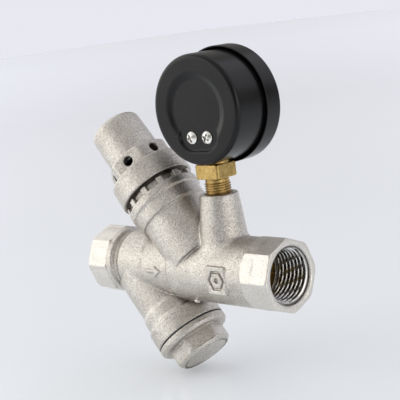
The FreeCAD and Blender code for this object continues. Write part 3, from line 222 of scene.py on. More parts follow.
def mesh_object(name, points, faces, smooth=True):
    """Points in millimetres and faces become an object in metres."""
    mesh = bpy.data.meshes.new(name)
    points = np.asarray(points, np.float64) * MM
    if isinstance(faces, np.ndarray):
        count, corners = faces.shape
        mesh.vertices.add(len(points))
        mesh.vertices.foreach_set("co", points.ravel())
        mesh.loops.add(count * corners)
        mesh.loops.foreach_set("vertex_index", faces.astype(np.int32).ravel())
        mesh.polygons.add(count)
        mesh.polygons.foreach_set("loop_start", np.arange(count, dtype=np.int32) * corners)
        mesh.update(calc_edges=True)
    else:
        mesh.from_pydata(points.tolist(), [], faces)
    mesh.validate()
    mesh.polygons.foreach_set("use_smooth", [smooth] * len(mesh.polygons))
    piece = bpy.data.objects.new(name, mesh)
    bpy.context.scene.collection.objects.link(piece)
    return piece


# ------------------------------------------------------------------ turned shapes
def rounded(outline, arc_steps=5):
    """Corners (radius, station, rounding) become points, with each rounding an arc."""
    points = []
    count = len(outline)
    for i, (r, s, rounding) in enumerate(outline):
        here = np.array((r, s), float)
        if rounding <= 0:
            points.append(here)
            continue
        before = np.array(outline[(i - 1) % count][:2], float)
        after = np.array(outline[(i + 1) % count][:2], float)
        back = (before - here) / np.linalg.norm(before - here)
        ahead = (after - here) / np.linalg.norm(after - here)
        half = 0.5 * math.acos(float(np.clip(np.dot(back, ahead), -1, 1)))
        reach = rounding / math.tan(half)
        middle = (back + ahead) / np.linalg.norm(back + ahead)
        centre = here + middle * rounding / math.sin(half)
        first = here + back * reach - centre
        last = here + ahead * reach - centre
        angle = math.atan2(first[0] * last[1] - first[1] * last[0], float(np.dot(first, last)))
        for k in range(arc_steps + 1):
            turn = angle * k / arc_steps
            cosine, sine = math.cos(turn), math.sin(turn)
            points.append(centre + (first[0] * cosine - first[1] * sine,
                                    first[0] * sine + first[1] * cosine))
    return np.array(points)


def turned(name, axis, outline, segments=128):
    """A closed outline of (radius, station, rounding) swept round an axis."""
    profile = rounded(outline)
    count = len(profile)
    angles = np.linspace(0, 2 * math.pi, segments, endpoint=False)
    rings = [np.column_stack((profile[:, 0] * math.cos(a), profile[:, 0] * math.sin(a), profile[:, 1]))
             for a in angles]
    points = axis.world(np.concatenate(rings))
    faces = []
    for j in range(segments):
        nxt = (j + 1) % segments
        for i in range(count):
            k = (i + 1) % count
            faces.append((j * count + i, nxt * count + i, nxt * count + k, j * count + k))
    piece = mesh_object(name, points, np.array(faces))
    return clean(piece)


def clean(piece, distance=1e-6):
    """Merge doubled points and point every face outwards."""
    work = bmesh.new()
    work.from_mesh(piece.data)
    bmesh.ops.remove_doubles(work, verts=work.verts, dist=distance)
    bmesh.ops.dissolve_degenerate(work, edges=work.edges, dist=distance)
    bmesh.ops.recalc_face_normals(work, faces=work.faces)
    work.to_mesh(piece.data)
    work.free()
    return piece


def soften(piece, angle=35):
    """Flat faces stay flat in the shading, curved ones smooth."""
    smoothed = piece.modifiers.new("shading", "WEIGHTED_NORMAL")
    smoothed.keep_sharp = True
    piece.data.set_sharp_from_angle(angle=math.radians(angle))
    return piece


def thread(name, axis, start, end, pitch, crest, root, cover, lead_in=0.0, run_out=0.0):
    """A sleeve whose face carries helical thread ridges.

    crest and root are the radii of the ridge tops and bottoms, cover the plain face's radius.
    The ridges fade over lead_in at the start and run_out at the end.
    """
    around = 160
    along = max(24, int((end - start) / pitch * 14))
    angle = np.linspace(0, 2 * math.pi, around, endpoint=False)[:, None]
    station = np.linspace(start, end, along)[None, :]
    phase = (station / pitch - angle / (2 * math.pi)) % 1.0
    ridge = np.clip(1.35 - 2.7 * np.abs(2 * phase - 1), 0, 1)
    ridge = ridge * ridge * (3 - 2 * ridge)
    fade = np.ones_like(station)
    if lead_in:
        fade = np.clip((station - start) / lead_in, 0, 1)
    if run_out:
        fade = fade * np.clip((end - station) / run_out, 0, 1)
    face = root + (crest - root) * ridge * fade
    rings = [np.column_stack((face[j] * math.cos(a), face[j] * math.sin(a), station[0]))
             for j, a in enumerate(angle[:, 0])]
    back = [np.array(((cover * math.cos(a), cover * math.sin(a), end),
                      (cover * math.cos(a), cover * math.sin(a), start))) for a in angle[:, 0]]
    count = along + 2
    points = axis.world(np.concatenate([np.vstack((r, b)) for r, b in zip(rings, back)]))
    faces = []
    for j in range(around):
        nxt = (j + 1) % around
        for i in range(count):
            k = (i + 1) % count
            faces.append((j * count + i, nxt * count + i, nxt * count + k, j * count + k))
    return soften(clean(mesh_object(name, points, np.array(faces))), 60)


# ------------------------------------------------------------------ materials
class Finish:
    """A procedural material: one Principled shader and a short way to add its nodes."""

    def __init__(self, name, colour, roughness, metallic=0.0):
        self.material = bpy.data.materials.new(name)
        self.material.use_nodes = True
        self.nodes = self.material.node_tree.nodes
        self.links = self.material.node_tree.links
        self.shader = self.nodes["Principled BSDF"]
        self.shader.inputs["Base Color"].default_value = (*colour, 1)
        self.shader.inputs["Roughness"].default_value = roughness
        self.shader.inputs["Metallic"].default_value = metallic
        self.place = self.add("ShaderNodeTexCoord").outputs["Object"]
        self.normal = None

    def add(self, kind, **settings):
        node = self.nodes.new(kind)
        for key, value in settings.items():
            if key in node.inputs.keys():
                node.inputs[key].default_value = value
            else:
                setattr(node, key, value)
        return node

    def link(self, source, target):
        self.links.new(source, target)
        return target

    def stretched(self, scale):
        """Object coordinates stretched by a different amount each way."""
        mapping = self.add("ShaderNodeMapping")
        mapping.inputs["Scale"].default_value = scale
        self.link(self.place, mapping.inputs["Vector"])
        return mapping.outputs["Vector"]

    def noise(self, grain_mm, detail=4.0, roughness=0.6, place=None):
        node = self.add("ShaderNodeTexNoise", Scale=1 / (grain_mm * MM), Detail=detail,
                        Roughness=roughness)
        self.link(place or self.place, node.inputs["Vector"])
        return node.outputs["Fac"]

    def remap(self, value, low, high, to_low, to_high):
        node = self.add("ShaderNodeMapRange")
        for key, number in zip(("From Min", "From Max", "To Min", "To Max"), (low, high, to_low, to_high)):
            node.inputs[key].default_value = number
        self.link(value, node.inputs["Value"])
        return node.outputs["Result"]

    def maths(self, operation, first, second=None):
        node = self.add("ShaderNodeMath", operation=operation)
        for socket, value in zip(node.inputs, (first, second)):
            if value is None:
                continue
            if isinstance(value, (int, float)):
                socket.default_value = value
            else:
                self.link(value, socket)
        return node.outputs[0]

    def mix(self, factor, first, second):
        """Two colours (or sockets) mixed by a factor socket."""
        node = self.add("ShaderNodeMix", data_type="RGBA")
        self.link(factor, node.inputs[0])
        for socket, value in ((node.inputs[6], first), (node.inputs[7], second)):
            if isinstance(value, tuple):
                socket.default_value = (*value, 1)
            else:
                self.link(value, socket)
        return node.outputs[2]

    def colour(self, source):
        self.link(source, self.shader.inputs["Base Color"])

    def rough(self, source):
        self.link(source, self.shader.inputs["Roughness"])

    def bump(self, height, depth_mm, strength=1.0):
        node = self.add("ShaderNodeBump", Strength=strength, Distance=depth_mm * MM)
        self.link(height, node.inputs["Height"])
        if self.normal is not None:
            self.link(self.normal, node.inputs["Normal"])
        self.normal = node.outputs["Normal"]
        self.link(self.normal, self.shader.inputs["Normal"])

    def crease(self, reach_mm):
        """Nearness of other surfaces: 1 in the open, 0 deep in a corner."""
        node = self.add("ShaderNodeAmbientOcclusion", Distance=reach_mm * MM)
        node.samples = 8
        return node.outputs["AO"]


NICKEL = (0.72, 0.69, 0.635)
NICKEL_WORN = (0.62, 0.585, 0.53)
NICKEL_PIT = (0.36, 0.33, 0.29)
NICKEL_CUT = (0.76, 0.735, 0.685)
# Painted shade: the dark brown that the metal turns to in its corners and creases.
PAINTED_CREASE_SHADE = (0.11, 0.085, 0.065)


def blasted(finish):
    """The sand-blasted skin of a casting: its colour, roughness and height."""
    coarse = finish.noise(0.62, 2, 0.55)
    fine = finish.noise(0.36, 1, 0.5)
    cloud = finish.noise(8, 4)
    tone = finish.mix(finish.remap(cloud, 0.38, 0.62, 0, 1), NICKEL, NICKEL_WORN)
    pit = finish.remap(finish.maths("ADD", coarse, fine), 1.06, 0.82, 0, 0.75)
    tone = finish.mix(pit, tone, NICKEL_PIT)
    rough = finish.remap(coarse, 0.3, 0.7, 0.40, 0.29)
    height = finish.maths("ADD", coarse, finish.maths("MULTIPLY", fine, 0.9))
    return tone, rough, height


# Painted shade: ambient occlusion darkens the metal towards brown where other surfaces are near.
def dirty_corners(finish, tone, reach_mm=3.5):
    corner = finish.remap(finish.crease(reach_mm), 0.22, 0.78, 0.9, 0)
    return finish.mix(corner, tone, PAINTED_CREASE_SHADE)


def cast_nickel():
    """Sand-blasted nickel plating, with painted brown shade darkening the corners."""
    finish = Finish("cast_nickel", NICKEL, 0.4, 1.0)
    tone, rough, height = blasted(finish)
    finish.colour(dirty_corners(finish, tone))
    finish.rough(rough)
    finish.bump(height, 0.17, 1.0)
    return finish.material


def machined_nickel():
    """Plated faces left by a cutter: smoother, with fine lines."""
    finish = Finish("machined_nickel", NICKEL_CUT, 0.24, 1.0)
    lines = finish.noise(0.12, 2, 0.5, finish.stretched((4.0, 0.4, 0.4)))
    cloud = finish.noise(4, 4)
    tone = finish.mix(cloud, NICKEL_CUT, NICKEL)
    # Painted shade: corners within 1.2 mm of other surfaces are darkened towards brown.
    finish.colour(dirty_corners(finish, tone, 1.2))
    finish.rough(finish.remap(cloud, 0.3, 0.7, 0.2, 0.34))
    finish.bump(lines, 0.012, 0.5)
    return finish.material


def port_nickel():
    """The body's metal: blasted casting with machined octagons at both mouths."""
    finish = Finish("body_nickel", NICKEL, 0.4, 1.0)
    split = finish.add("ShaderNodeSeparateXYZ")
    finish.link(finish.place, split.inputs[0])
    station = split.outputs[0]
    inlet = finish.remap(station, 10.6 * MM, 11.1 * MM, 1, 0)
    outlet = finish.remap(station, (PORT_LENGTH - 13.2) * MM, (PORT_LENGTH - 12.4) * MM, 0, 1)
    machined = finish.maths("MAXIMUM", inlet, outlet)
    tone, cast_rough, height = blasted(finish)
    cloud = finish.noise(5, 3)
    speck = finish.remap(finish.noise(0.6, 2, 0.6), 0.56, 0.66, 0, 0.45)
    smooth_tone = finish.mix(cloud, NICKEL_CUT, NICKEL)
    smooth_tone = finish.mix(speck, smooth_tone, NICKEL_PIT)
    tone = finish.mix(machined, tone, smooth_tone)
    rough = finish.add("ShaderNodeMix", data_type="FLOAT")
    finish.link(machined, rough.inputs[0])
    finish.link(cast_rough, rough.inputs[2])
    finish.link(finish.remap(cloud, 0.3, 0.7, 0.33, 0.42), rough.inputs[3])
    height = finish.maths("MULTIPLY", height, finish.remap(machined, 0, 1, 1, 0.85))
    # Painted shade: the body's grooves, gaps and bores are darkened towards brown.
    finish.colour(dirty_corners(finish, tone))
    finish.rough(rough.outputs[0])
    finish.bump(height, 0.17, 1.0)
    return finish.material


def cut_thread():
    """Pipe thread: bright crests, with painted shade darkening the roots."""
    finish = Finish("cut_thread", NICKEL_CUT, 0.25, 1.0)
    split = finish.add("ShaderNodeSeparateXYZ")
    finish.link(finish.place, split.inputs[0])
    squares = [finish.maths("MULTIPLY", split.outputs[i], split.outputs[i]) for i in (1, 2)]
    radius = finish.maths("SQRT", finish.maths("ADD", *squares))
    # Painted shade: the colour turns dark towards the root radius of the thread.
    root = finish.remap(radius, 9.65 * MM, 10.3 * MM, 0, 1)
    cloud = finish.noise(2.2, 4)
    finish.colour(finish.mix(root, (0.85, 0.84, 0.81), (0.15, 0.14, 0.13)))
    finish.rough(finish.remap(cloud, 0.3, 0.7, 0.18, 0.36))
    finish.bump(cloud, 0.05, 0.4)
    return finish.material


def turned_brass():
    """Lathe-turned brass, a little stained, with painted brown shade in the corners."""
    finish = Finish("turned_brass", (0.78, 0.55, 0.22), 0.3, 1.0)
    cloud = finish.noise(1.6, 4)
    lines = finish.noise(0.10, 2, 0.5, finish.stretched((1, 1, 6)))
    tone = finish.mix(finish.remap(cloud, 0.3, 0.7, 0, 1), (0.60, 0.43, 0.165), (0.36, 0.235, 0.075))
    # Painted shade: ambient occlusion darkens the brass towards brown where other surfaces are near.
    corner = finish.remap(finish.crease(1.5), 0.3, 0.9, 1, 0)
    tone = finish.mix(corner, tone, (0.30, 0.18, 0.06))
    finish.colour(tone)
    finish.rough(finish.remap(cloud, 0.3, 0.7, 0.22, 0.42))
    finish.bump(lines, 0.02, 0.5)
    finish.bump(cloud, 0.03, 0.4)
    return finish.material


def bright_screw():
    finish = Finish("bright_screw", (0.9, 0.88, 0.84), 0.18, 1.0)
    cloud = finish.noise(0.6, 4)
    # Painted shade: the head turns nearly black where other surfaces are near, as in the cross recess.
    corner = finish.remap(finish.crease(1.0), 0.35, 0.9, 1, 0)
    finish.colour(finish.mix(corner, (0.93, 0.91, 0.87), (0.04, 0.03, 0.02)))
    finish.rough(finish.remap(cloud, 0.3, 0.7, 0.14, 0.3))
    finish.bump(cloud, 0.02, 0.3)
    return finish.material


def satin_black():
    """Black stoving paint with a fine orange peel and a few dull patches."""
    finish = Finish("satin_black", (0.008, 0.008, 0.0085), 0.3)
    peel = finish.noise(0.55, 3, 0.5)
    cloud = finish.noise(12, 3)
    tone = finish.mix(finish.remap(cloud, 0.3, 0.7, 0, 1), (0.004, 0.004, 0.0042), (0.007, 0.007, 0.0072))
    finish.colour(tone)
    finish.rough(finish.remap(cloud, 0.3, 0.7, 0.22, 0.28))
    finish.bump(peel, 0.012, 0.3)
    finish.shader.inputs["Specular IOR Level"].default_value = 0.28
    return finish.material


def plain_steel(name="steel", colour=(0.62, 0.61, 0.6), dark=(0.4, 0.39, 0.38)):
    finish = Finish(name, colour, 0.3, 1.0)
    cloud = finish.noise(1.5, 4)
    lines = finish.noise(0.15, 2, 0.5, finish.stretched((1, 5, 1)))
    finish.colour(finish.mix(finish.remap(cloud, 0.3, 0.7, 0, 1), colour, dark))
    finish.rough(finish.remap(cloud, 0.3, 0.7, 0.22, 0.4))
    finish.bump(lines, 0.01, 0.4)
    return finish.material


def moulded_rubber(colour=(0.018, 0.020, 0.022), dusty=(0.05, 0.055, 0.06)):
    finish = Finish("moulded_rubber", colour, 0.55)
    dust = finish.noise(1.2, 4)
    skin_grain = finish.noise(0.2, 3)
    finish.colour(finish.mix(finish.remap(dust, 0.45, 0.75, 0, 1), colour, dusty))
    finish.rough(finish.remap(dust, 0.3, 0.7, 0.45, 0.7))
    finish.bump(skin_grain, 0.015, 0.5)
    return finish.material


def moulded_plastic():
    finish = Finish("moulded_plastic", (0.78, 0.77, 0.72), 0.4)
    cloud = finish.noise(2.5, 3)
    grain = finish.noise(0.15, 3)
    finish.colour(finish.mix(cloud, (0.80, 0.79, 0.74), (0.70, 0.69, 0.63)))
    finish.rough(finish.remap(cloud, 0.3, 0.7, 0.34, 0.5))
    finish.bump(grain, 0.01, 0.4)
    finish.shader.inputs["Subsurface Weight"].default_value = 0.05
    return finish.material


def dial_enamel():
    finish = Finish("dial_enamel", (0.85, 0.85, 0.82), 0.35)
    cloud = finish.noise(6, 4)
    grain = finish.noise(0.25, 3)
    finish.colour(finish.mix(cloud, (0.88, 0.88, 0.85), (0.80, 0.80, 0.76)))
    finish.rough(finish.remap(cloud, 0.3, 0.7, 0.3, 0.42))
    finish.bump(grain, 0.006, 0.3)
    return finish.material


def printed_black(name="printed_black", colour=(0.012, 0.012, 0.014), worn=(0.03, 0.03, 0.032)):
    finish = Finish(name, colour, 0.4)
    cloud = finish.noise(0.8, 4)
    finish.colour(finish.mix(cloud, colour, worn))
    finish.rough(finish.remap(cloud, 0.3, 0.7, 0.3, 0.5))
    finish.bump(cloud, 0.005, 0.3)
    return finish.material


def clear_window():
    """Clear moulded polycarbonate with the faintest haze."""
    finish = Finish("clear_window", (0.95, 0.97, 0.98), 0.02)
    cloud = finish.noise(7, 3)
    finish.rough(finish.remap(cloud, 0.3, 0.7, 0.01, 0.05))
    finish.colour(finish.mix(cloud, (0.96, 0.98, 0.99), (0.92, 0.95, 0.96)))
    finish.bump(cloud, 0.01, 0.1)
    finish.shader.inputs["Transmission Weight"].default_value = 1.0
    finish.shader.inputs["IOR"].default_value = 1.49
    return finish.material


def floor_finish():
    finish = Finish("pale_floor", (0.80, 0.82, 0.86), 0.16)
    cloud = finish.noise(600, 2)
    finish.colour(finish.mix(cloud, (0.80, 0.83, 0.855), (0.796, 0.826, 0.851)))
    finish.rough(finish.remap(cloud, 0.3, 0.7, 0.15, 0.155))
    # Painted light: the floor glows, brightest near the object and fainter further out, which lifts the
    # shadow under it.
    reach = finish.add("ShaderNodeVectorMath", operation="LENGTH")
    finish.link(finish.place, reach.inputs[0])
    painted_light_pool = finish.remap(reach.outputs["Value"], 0.15, 1.2, 0.22, 0.10)
    finish.shader.inputs["Emission Color"].default_value = (0.90, 0.94, 1.0, 1)
    finish.link(painted_light_pool, finish.shader.inputs["Emission Strength"])
    return finish.material


METAL = port_nickel()
CAST = cast_nickel()
MACHINED = machined_nickel()
THREAD = cut_thread()
BRASS = turned_brass()
SCREW = bright_screw()
BLACK = satin_black()
STEEL = plain_steel()
SPRING = plain_steel("spring_wire", (0.36, 0.37, 0.39), (0.20, 0.20, 0.21))
RUBBER = moulded_rubber()
PLASTIC = moulded_plastic()
ENAMEL = dial_enamel()
INK = printed_black()
RED_INK = printed_black("printed_red", (0.55, 0.02, 0.015), (0.45, 0.03, 0.02))
GLASS = clear_window()

SLOT_FINISH = {
    "body_metal": CAST, "machined_metal": MACHINED, "brass": BRASS, "steel": STEEL,
    "spring_steel": SPRING, "rubber": RUBBER, "black_case": BLACK, "screw_metal": SCREW,
    "lens_glass": GLASS, "dial_white": ENAMEL, "pointer_black": INK, "plastic": PLASTIC,
}


def dress(piece, material, body="root", replaces=None):
    """Give a piece its finish and its body and, where it stands for a CAD node, hide that node."""
    piece.data.materials.clear()
    piece.data.materials.append(material)
    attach(piece, body)
    if replaces:
        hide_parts(replaces)
    return piece


# ------------------------------------------------------------------ valve body
def flow_solid(grid):
    """The tube along the flow line with its octagonal ports, and what stands on it."""
    across, sideways, along = grid.seen_from(FLOW)
    radius = np.hypot(across, sideways)
    flat = OCTAGON_CORNER * math.cos(math.pi / 8)
    eighth = 22.5
    inlet = polygon_bar(across, sideways, along, 8, flat, 0, 11, eighth, 0.15)
    chamfer = OCTAGON_CHAMFER
    inlet = overlap(inlet, cone(radius, along, chamfer, chamfer + 14, 0, 14, 0.1), 0.2)
    outlet = polygon_bar(across, sideways, along, 8, flat, PORT_LENGTH - 13, PORT_LENGTH, eighth, 0.15)
    mouth = cone(radius, along, chamfer + 14, chamfer, PORT_LENGTH - 14, PORT_LENGTH, 0.1)
    outlet = overlap(outlet, mouth, 0.2)
    shoulder = cone(radius, along, 12.7, 12.7 + 15, PORT_LENGTH - 13.2, PORT_LENGTH + 1.8, 0.1)
    outlet = overlap(outlet, shoulder, 0.3)
    collar = cylinder(radius, along, 13.2, 2, 13.9, 0.8)
    groove = cylinder(radius, along, 11.55, 2, 30, 0.5)
    tube = cone(radius, along, 12.2, 12.35, 17.2, 50, 0.9)
    wide = cylinder(radius, along, 13.0, 45.6, 90, 1.0)
    line = melt(groove, tube, 2.6)
    line = melt(line, collar, 1.7)
    line = melt(line, wide, 1.2)
    line = melt(line, inlet, 0.25)
    return melt(line, outlet, 0.6)


def barrel_solid(grid):
    """The inclined spring housing with its two collars and the crown of lugs."""
    across, sideways, along = grid.seen_from(UPPER)
    radius = np.hypot(across, sideways)
    barrel = cylinder(radius, along, 13.1, 6.4, 33, 0.35)
    two = cylinder(radius, along, 14.2, 25.9, 34, 0.4)
    one = cylinder(radius, along, 15.0, 31.4, 34.6, 0.35)
    neck = cylinder(radius, along, 12.9, 20, 37.6, 0.2)
    crown = melt(two, one, 0.7)
    crown = melt(crown, neck, 0.3)
    for i in range(12):
        turn = math.radians(27 + 30 * i)
        outwards, beside = spun(turn, across, sideways)
        lug = block(outwards, beside, along, (13.2, 0, 35.6), (1.35, 1.35, 1.6), 0.12)
        crown = melt(crown, lug, 0.12)
    return barrel, crown


def leg_solid(grid):
    """The inclined strainer leg with its two steps."""
    across, sideways, along = grid.seen_from(LOWER)
    radius = np.hypot(across, sideways)
    leg = cylinder(radius, along, 12.85, 3.4, 33, 0.25)
    one = cone(radius, along, 13.45, 13.55, 22.6, 34, 0.6)
    two = cone(radius, along, 14.5, 14.6, 28.4, 35.4, 0.35)
    return melt(melt(leg, one, 1.4), two, 1.4)


PLATE_X = 72.6
PLATE_Z = -0.6


def casting_details(grid):
    """Raised square plate with a plain hexagon-and-dot mark, and the flow arrow."""
    x, y, z = grid.x, grid.y, grid.z
    front = -12.9
    plate = block(x, y, z, (PLATE_X, front + 1.2, PLATE_Z), (4.5, 1.5, 5.25), 0.1)
    depth = y + 0 * x + 0 * z
    hexagon = polygon_bar(x - PLATE_X, z - PLATE_Z, depth, 6, 3.5, front - 2, front + 0.45, 30, 0.05)
    middle = polygon_bar(x - PLATE_X, z - PLATE_Z, depth, 6, 2.75, front - 3, front + 3, 30, 0.05)
    dot = np.maximum(np.hypot(x - PLATE_X, z - PLATE_Z) - 0.9, np.abs(depth - front) - 0.45)
    stamp = np.minimum(np.maximum(hexagon, -middle), dot)
    arrow_front = -12.6
    shaft = block(x, y, z, (37.0, arrow_front + 0.6, 0.2), (2.6, 1.0, 0.7), 0.1)
    head_reach = 42.3 - x
    head = np.maximum(np.abs(z - 0.2) - head_reach * 0.62, np.maximum(39.0 - x, -head_reach))
    head = np.maximum(head, np.abs(y - (arrow_front + 0.6)) - 1.0)
    arrow = melt(shaft, head, 0.15)
    return plate, stamp, arrow


def valve_body():
    grid = Grid((-0.8, -15.4, -36.8), (98.1, 15.4, 38.6), 0.3)
    solid = flow_solid(grid)
    leg = leg_solid(grid)
    solid = melt(solid, leg, 0.45)
    barrel, crown = barrel_solid(grid)
    boss_across, boss_sideways, boss_along = grid.seen_from(BOSS)
    boss_radius = np.hypot(boss_across, boss_sideways)
    boss = cone(boss_radius, boss_along, 9.4, 7.2, 8, 29, 0.7)
    solid = melt(solid, boss, 2.0)
    solid = melt(solid, barrel, 0.9)
    solid = melt(solid, crown, 0.5)
    plate, stamp, arrow = casting_details(grid)
    solid = melt(solid, plate, 0.2)
    solid = carve(solid, stamp, 0.15)
    solid = melt(solid, arrow, 0.25)
    nub = np.sqrt(((grid.x - 57.0) / 1.7) ** 2 + (grid.y + 8.9) ** 2 + (grid.z + 10.6) ** 2) - 0.85
    solid = melt(solid, nub, 0.4)
    solid = carve_passages(grid, solid, boss_radius, boss_along)
    return skin("cast_body", solid, grid)


def carve_passages(grid, solid, boss_radius, boss_along):
    """Bores of both ports, the strainer leg, the spring side and the gauge boss."""
    across, sideways, along = grid.seen_from(FLOW)
    radius = np.hypot(across, sideways)
    port = PORT_BORE
    for tool in (
        cylinder(radius, along, port, -3, 15, 0.2),
        cone(radius, along, port + 1.4, port - 0.6, -0.7, 1.3, 0.05),
        cylinder(radius, along, 7.6, 10, 24.5, 0.3),
        cylinder(radius, along, 5, 67, 75, 0.2),
        cylinder(radius, along, 9.5, 73, 83, 0.1),
        cylinder(radius, along, port, PORT_LENGTH - 16, PORT_LENGTH + 3, 0.2),
        cone(radius, along, port - 0.6, port + 1.4, PORT_LENGTH - 1.3, PORT_LENGTH + 0.7, 0.05),
    ):
        solid = carve(solid, tool, 0.15)
    across, sideways, along = grid.seen_from(LOWER)
    radius = np.hypot(across, sideways)
    for tool in (cylinder(radius, along, 8.1, 0, 10, 0.2), cylinder(radius, along, 10.7, 8, 30, 0.2),
                 cylinder(radius, along, 11.5, 27, 40, 0.1)):
        solid = carve(solid, tool, 0.15)
    across, sideways, along = grid.seen_from(UPPER)
    radius = np.hypot(across, sideways)
    for tool in (cylinder(radius, along, 5.6, -3, 8, 0.2), cylinder(radius, along, 6.4, 4, 12, 0.1),
                 cylinder(radius, along, 9.6, 10, 30, 0.2), cylinder(radius, along, 12, 28, 42, 0.1)):
        solid = carve(solid, tool, 0.15)
    crossing = np.hypot(grid.y, grid.z + 6.4)
    solid = carve(solid, cylinder(crossing, grid.x + 0 * crossing, 4.2, 31, 60, 0.2), 0.15)
    high, low = np.array((60.5, 0, 16)), np.array((69.5, 0, 3.5))
    run = (low - high) / np.linalg.norm(low - high)
    px, pz = grid.x - high[0], grid.z - high[2]
    travelled = px * run[0] + pz * run[2] + 0 * grid.y
    aside = np.sqrt((px - travelled * run[0]) ** 2 + grid.y ** 2 + (pz - travelled * run[2]) ** 2)
    solid = carve(solid, cylinder(aside, travelled, 3.2, 0, float(np.linalg.norm(low - high)), 0.2), 0.15)
    solid = carve(solid, cylinder(boss_radius, boss_along, 1.6, 8, 22, 0.1), 0.1)
    return carve(solid, cylinder(boss_radius, boss_along, 4.95, 20.5, 31, 0.2), 0.2)


# ------------------------------------------------------------------ bonnet
def bonnet():
    grid = Grid((-15.9, -15.9, 29.4), (15.9, 15.9, 71.6), 0.26)
    radius, along = grid.round_axis()
    rim = cone(radius, along, 15.4, 15.05, 38.2, 47.0, 0.55)
    hexagon = polygon_bar(grid.x, grid.y, along, 6, 11.7, 44, 54, 0, 0.25)
    hexagon = overlap(hexagon, cone(radius, along, 13.2 + 8.8, 13.2 - 1.2, 45.2, 54.2, 0.2), 0.3)
    hexagon = overlap(hexagon, cylinder(radius, along, 13.1, 40, 54, 0.3), 0.3)
    cap = cone(radius, along, 10.75, 10.3, 50, 71, 2.3)
    spigot = cylinder(radius, along, 11.9, 30, 42, 0.3)
    solid = melt(rim, hexagon, 0.5)
    solid = melt(solid, cap, 0.8)
    solid = melt(solid, spigot, 0.3)
    recess = np.maximum(np.abs(along - 38.2) - 1.1, np.maximum(radius - 14.0, 11.95 - radius))
    solid = carve(solid, recess, 0.2)
    solid = carve(solid, cylinder(radius, along, 9.7, 28, 44.4, 0.4), 0.3)
    solid = carve(solid, cylinder(radius, along, 8.7, 40, 62.5, 0.4), 0.3)
    solid = carve(solid, cylinder(radius, along, 5.0, 60, 75, 0.1), 0.5)
    for i in range(6):
        turn = math.radians(60 * i)
        outwards, beside = spun(turn, grid.x, grid.y)
        aside = np.hypot(beside, along - 50.6)
        vent = np.maximum(aside - 1.9, np.maximum(6 - outwards, outwards - 16))
        solid = carve(solid, vent, 0.35)
    return skin("spring_bonnet", solid, grid, UPPER)


# ------------------------------------------------------------------ strainer plug
def strainer_plug():
    grid = Grid((-15.1, -15.1, 28), (15.1, 15.1, 46.8), 0.2)
    radius, along = grid.round_axis()
    flange = cylinder(radius, along, 14.6, 35.9, 38.9, 0.35)
    flange = overlap(flange, cone(radius, along, 14.6 + 3.0, 14.6 - 1.1, 34.8, 38.9, 0.1), 0.3)
    head = cylinder(radius, along, 11.5, 37, 46.15, 0.5)
    head = overlap(head, cone(radius, along, 11.5 + 6.5, 11.5 - 1.6, 38.15, 46.25, 0.1), 0.3)
    sleeve = cylinder(radius, along, 11.4, 28.5, 37, 0.4)
    solid = melt(melt(flange, head, 0.5), sleeve, 0.2)
    for i in range(6):
        turn = math.radians(30 + 60 * i)
        outwards, beside = spun(turn, grid.x, grid.y)
        pocket = block(outwards, beside, along, (10.4 + 2.5, 0, 41.85), (2.5, 5.0, 2.95), 0.25)
        solid = carve(solid, pocket, 0.25)
    ring_cut = np.maximum(np.abs(along - 46.15) - 0.6, np.abs(radius - 9.3) - 0.34)
    solid = carve(solid, ring_cut, 0.15)
    solid = carve(solid, cylinder(radius, along, 9.6, 27, 34.5, 0.2), 0.2)
    solid = carve(solid, cylinder(radius, along, 8.05, 30, 37.5, 0.1), 0.2)
    solid = carve(solid, cylinder(radius, along, 7.0, 30, 40, 0.3), 0.2)
    return skin("strainer_cap", solid, grid, LOWER)


# ------------------------------------------------------------------ gauge stub and socket
def gauge_socket():
    low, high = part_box("gauge_socket")
    margin = 0.8
    grid = Grid([v / MM - margin for v in low], [v / MM + margin for v in high], 0.17)
    across, sideways, along = grid.seen_from(BOSS)
    radius = np.hypot(across, sideways)
    shaft = cylinder(radius, along, 4.35, 21, 34.5, 0.3)
    neck = cylinder(radius, along, 4.2, 30, 42, 0.1)
    square = block(across, sideways, along, (0, 0, 37.45), (5.5, 5.5, 2.75), 0.2)
    square = overlap(square, cylinder(radius, along, 7.35, 34.7, 40.2, 0.7), 0.25)
    solid = melt(melt(shaft, neck, 0.1), square, 0.3)
    solid = np.minimum(solid, cylinder(radius, along, 5.4, 38.6, 42.6, 0.1))
    solid = np.minimum(solid, block(across, sideways, along, (0, -5.7 + 2.3, 47.55), (6.5, 2.3, 5.95), 0.3))
    solid = carve(solid, cylinder(radius, along, 1.5, 20, 45.6, 0.1), 0.2)
    return skin("gauge_stub_block", solid, grid)


# ------------------------------------------------------------------ gauge shell
SCREW_DROP = GAUGE_Z - 50.4
SCREW_REACH = 3.7


def dent_press(across, sideways):
    """How far in the back is pressed, 0 to 1: a round dent and a sharper tab below it."""
    disc = np.clip((14.1 - np.hypot(across, sideways)) / 3.2, 0, 1)
    disc = disc * disc * (3 - 2 * disc)
    beside = np.maximum(np.abs(across) - 3.1, 0)
    tab = np.clip((6.4 - np.hypot(beside, sideways - 9.0)) / 0.9, 0, 1)
    tab = tab * tab * (3 - 2 * tab)
    tab = tab * np.clip((sideways - 4.0) / 1.0, 0, 1)
    return np.maximum(disc, tab)


def gauge_case():
    grid = Grid((-21.5, -21.5, -8.4), (21.5, 21.5, 11.6), 0.26)
    radius, along = grid.round_axis()
    outer = cylinder(radius, along, 20.2, -7.6, 20, 1.7)
    lip = cylinder(radius, along, 20.9, 9.6, 14, 0.3)
    outer = melt(outer, lip, 0.6)
    inner = cylinder(radius, along, 19.3, -6.7, 24, 0.9)
    press = dent_press(grid.x, grid.y) + 0 * along
    sunk_outer = np.maximum(outer, -(along + 7.6 - 1.0 * press))
    sunk_inner = np.maximum(inner, -(along + 6.7 - 1.0 * press))
    solid = overlap(sunk_outer, along - 11 + 0 * radius, 0.2)
    solid = carve(solid, sunk_inner, 0.2)
    opening = np.maximum(np.hypot(grid.x, grid.z) + 0 * grid.y - 5.7, 14 - grid.y)
    solid = carve(solid, opening, 0.15)
    return skin("case_shell", solid, grid, GAUGE)


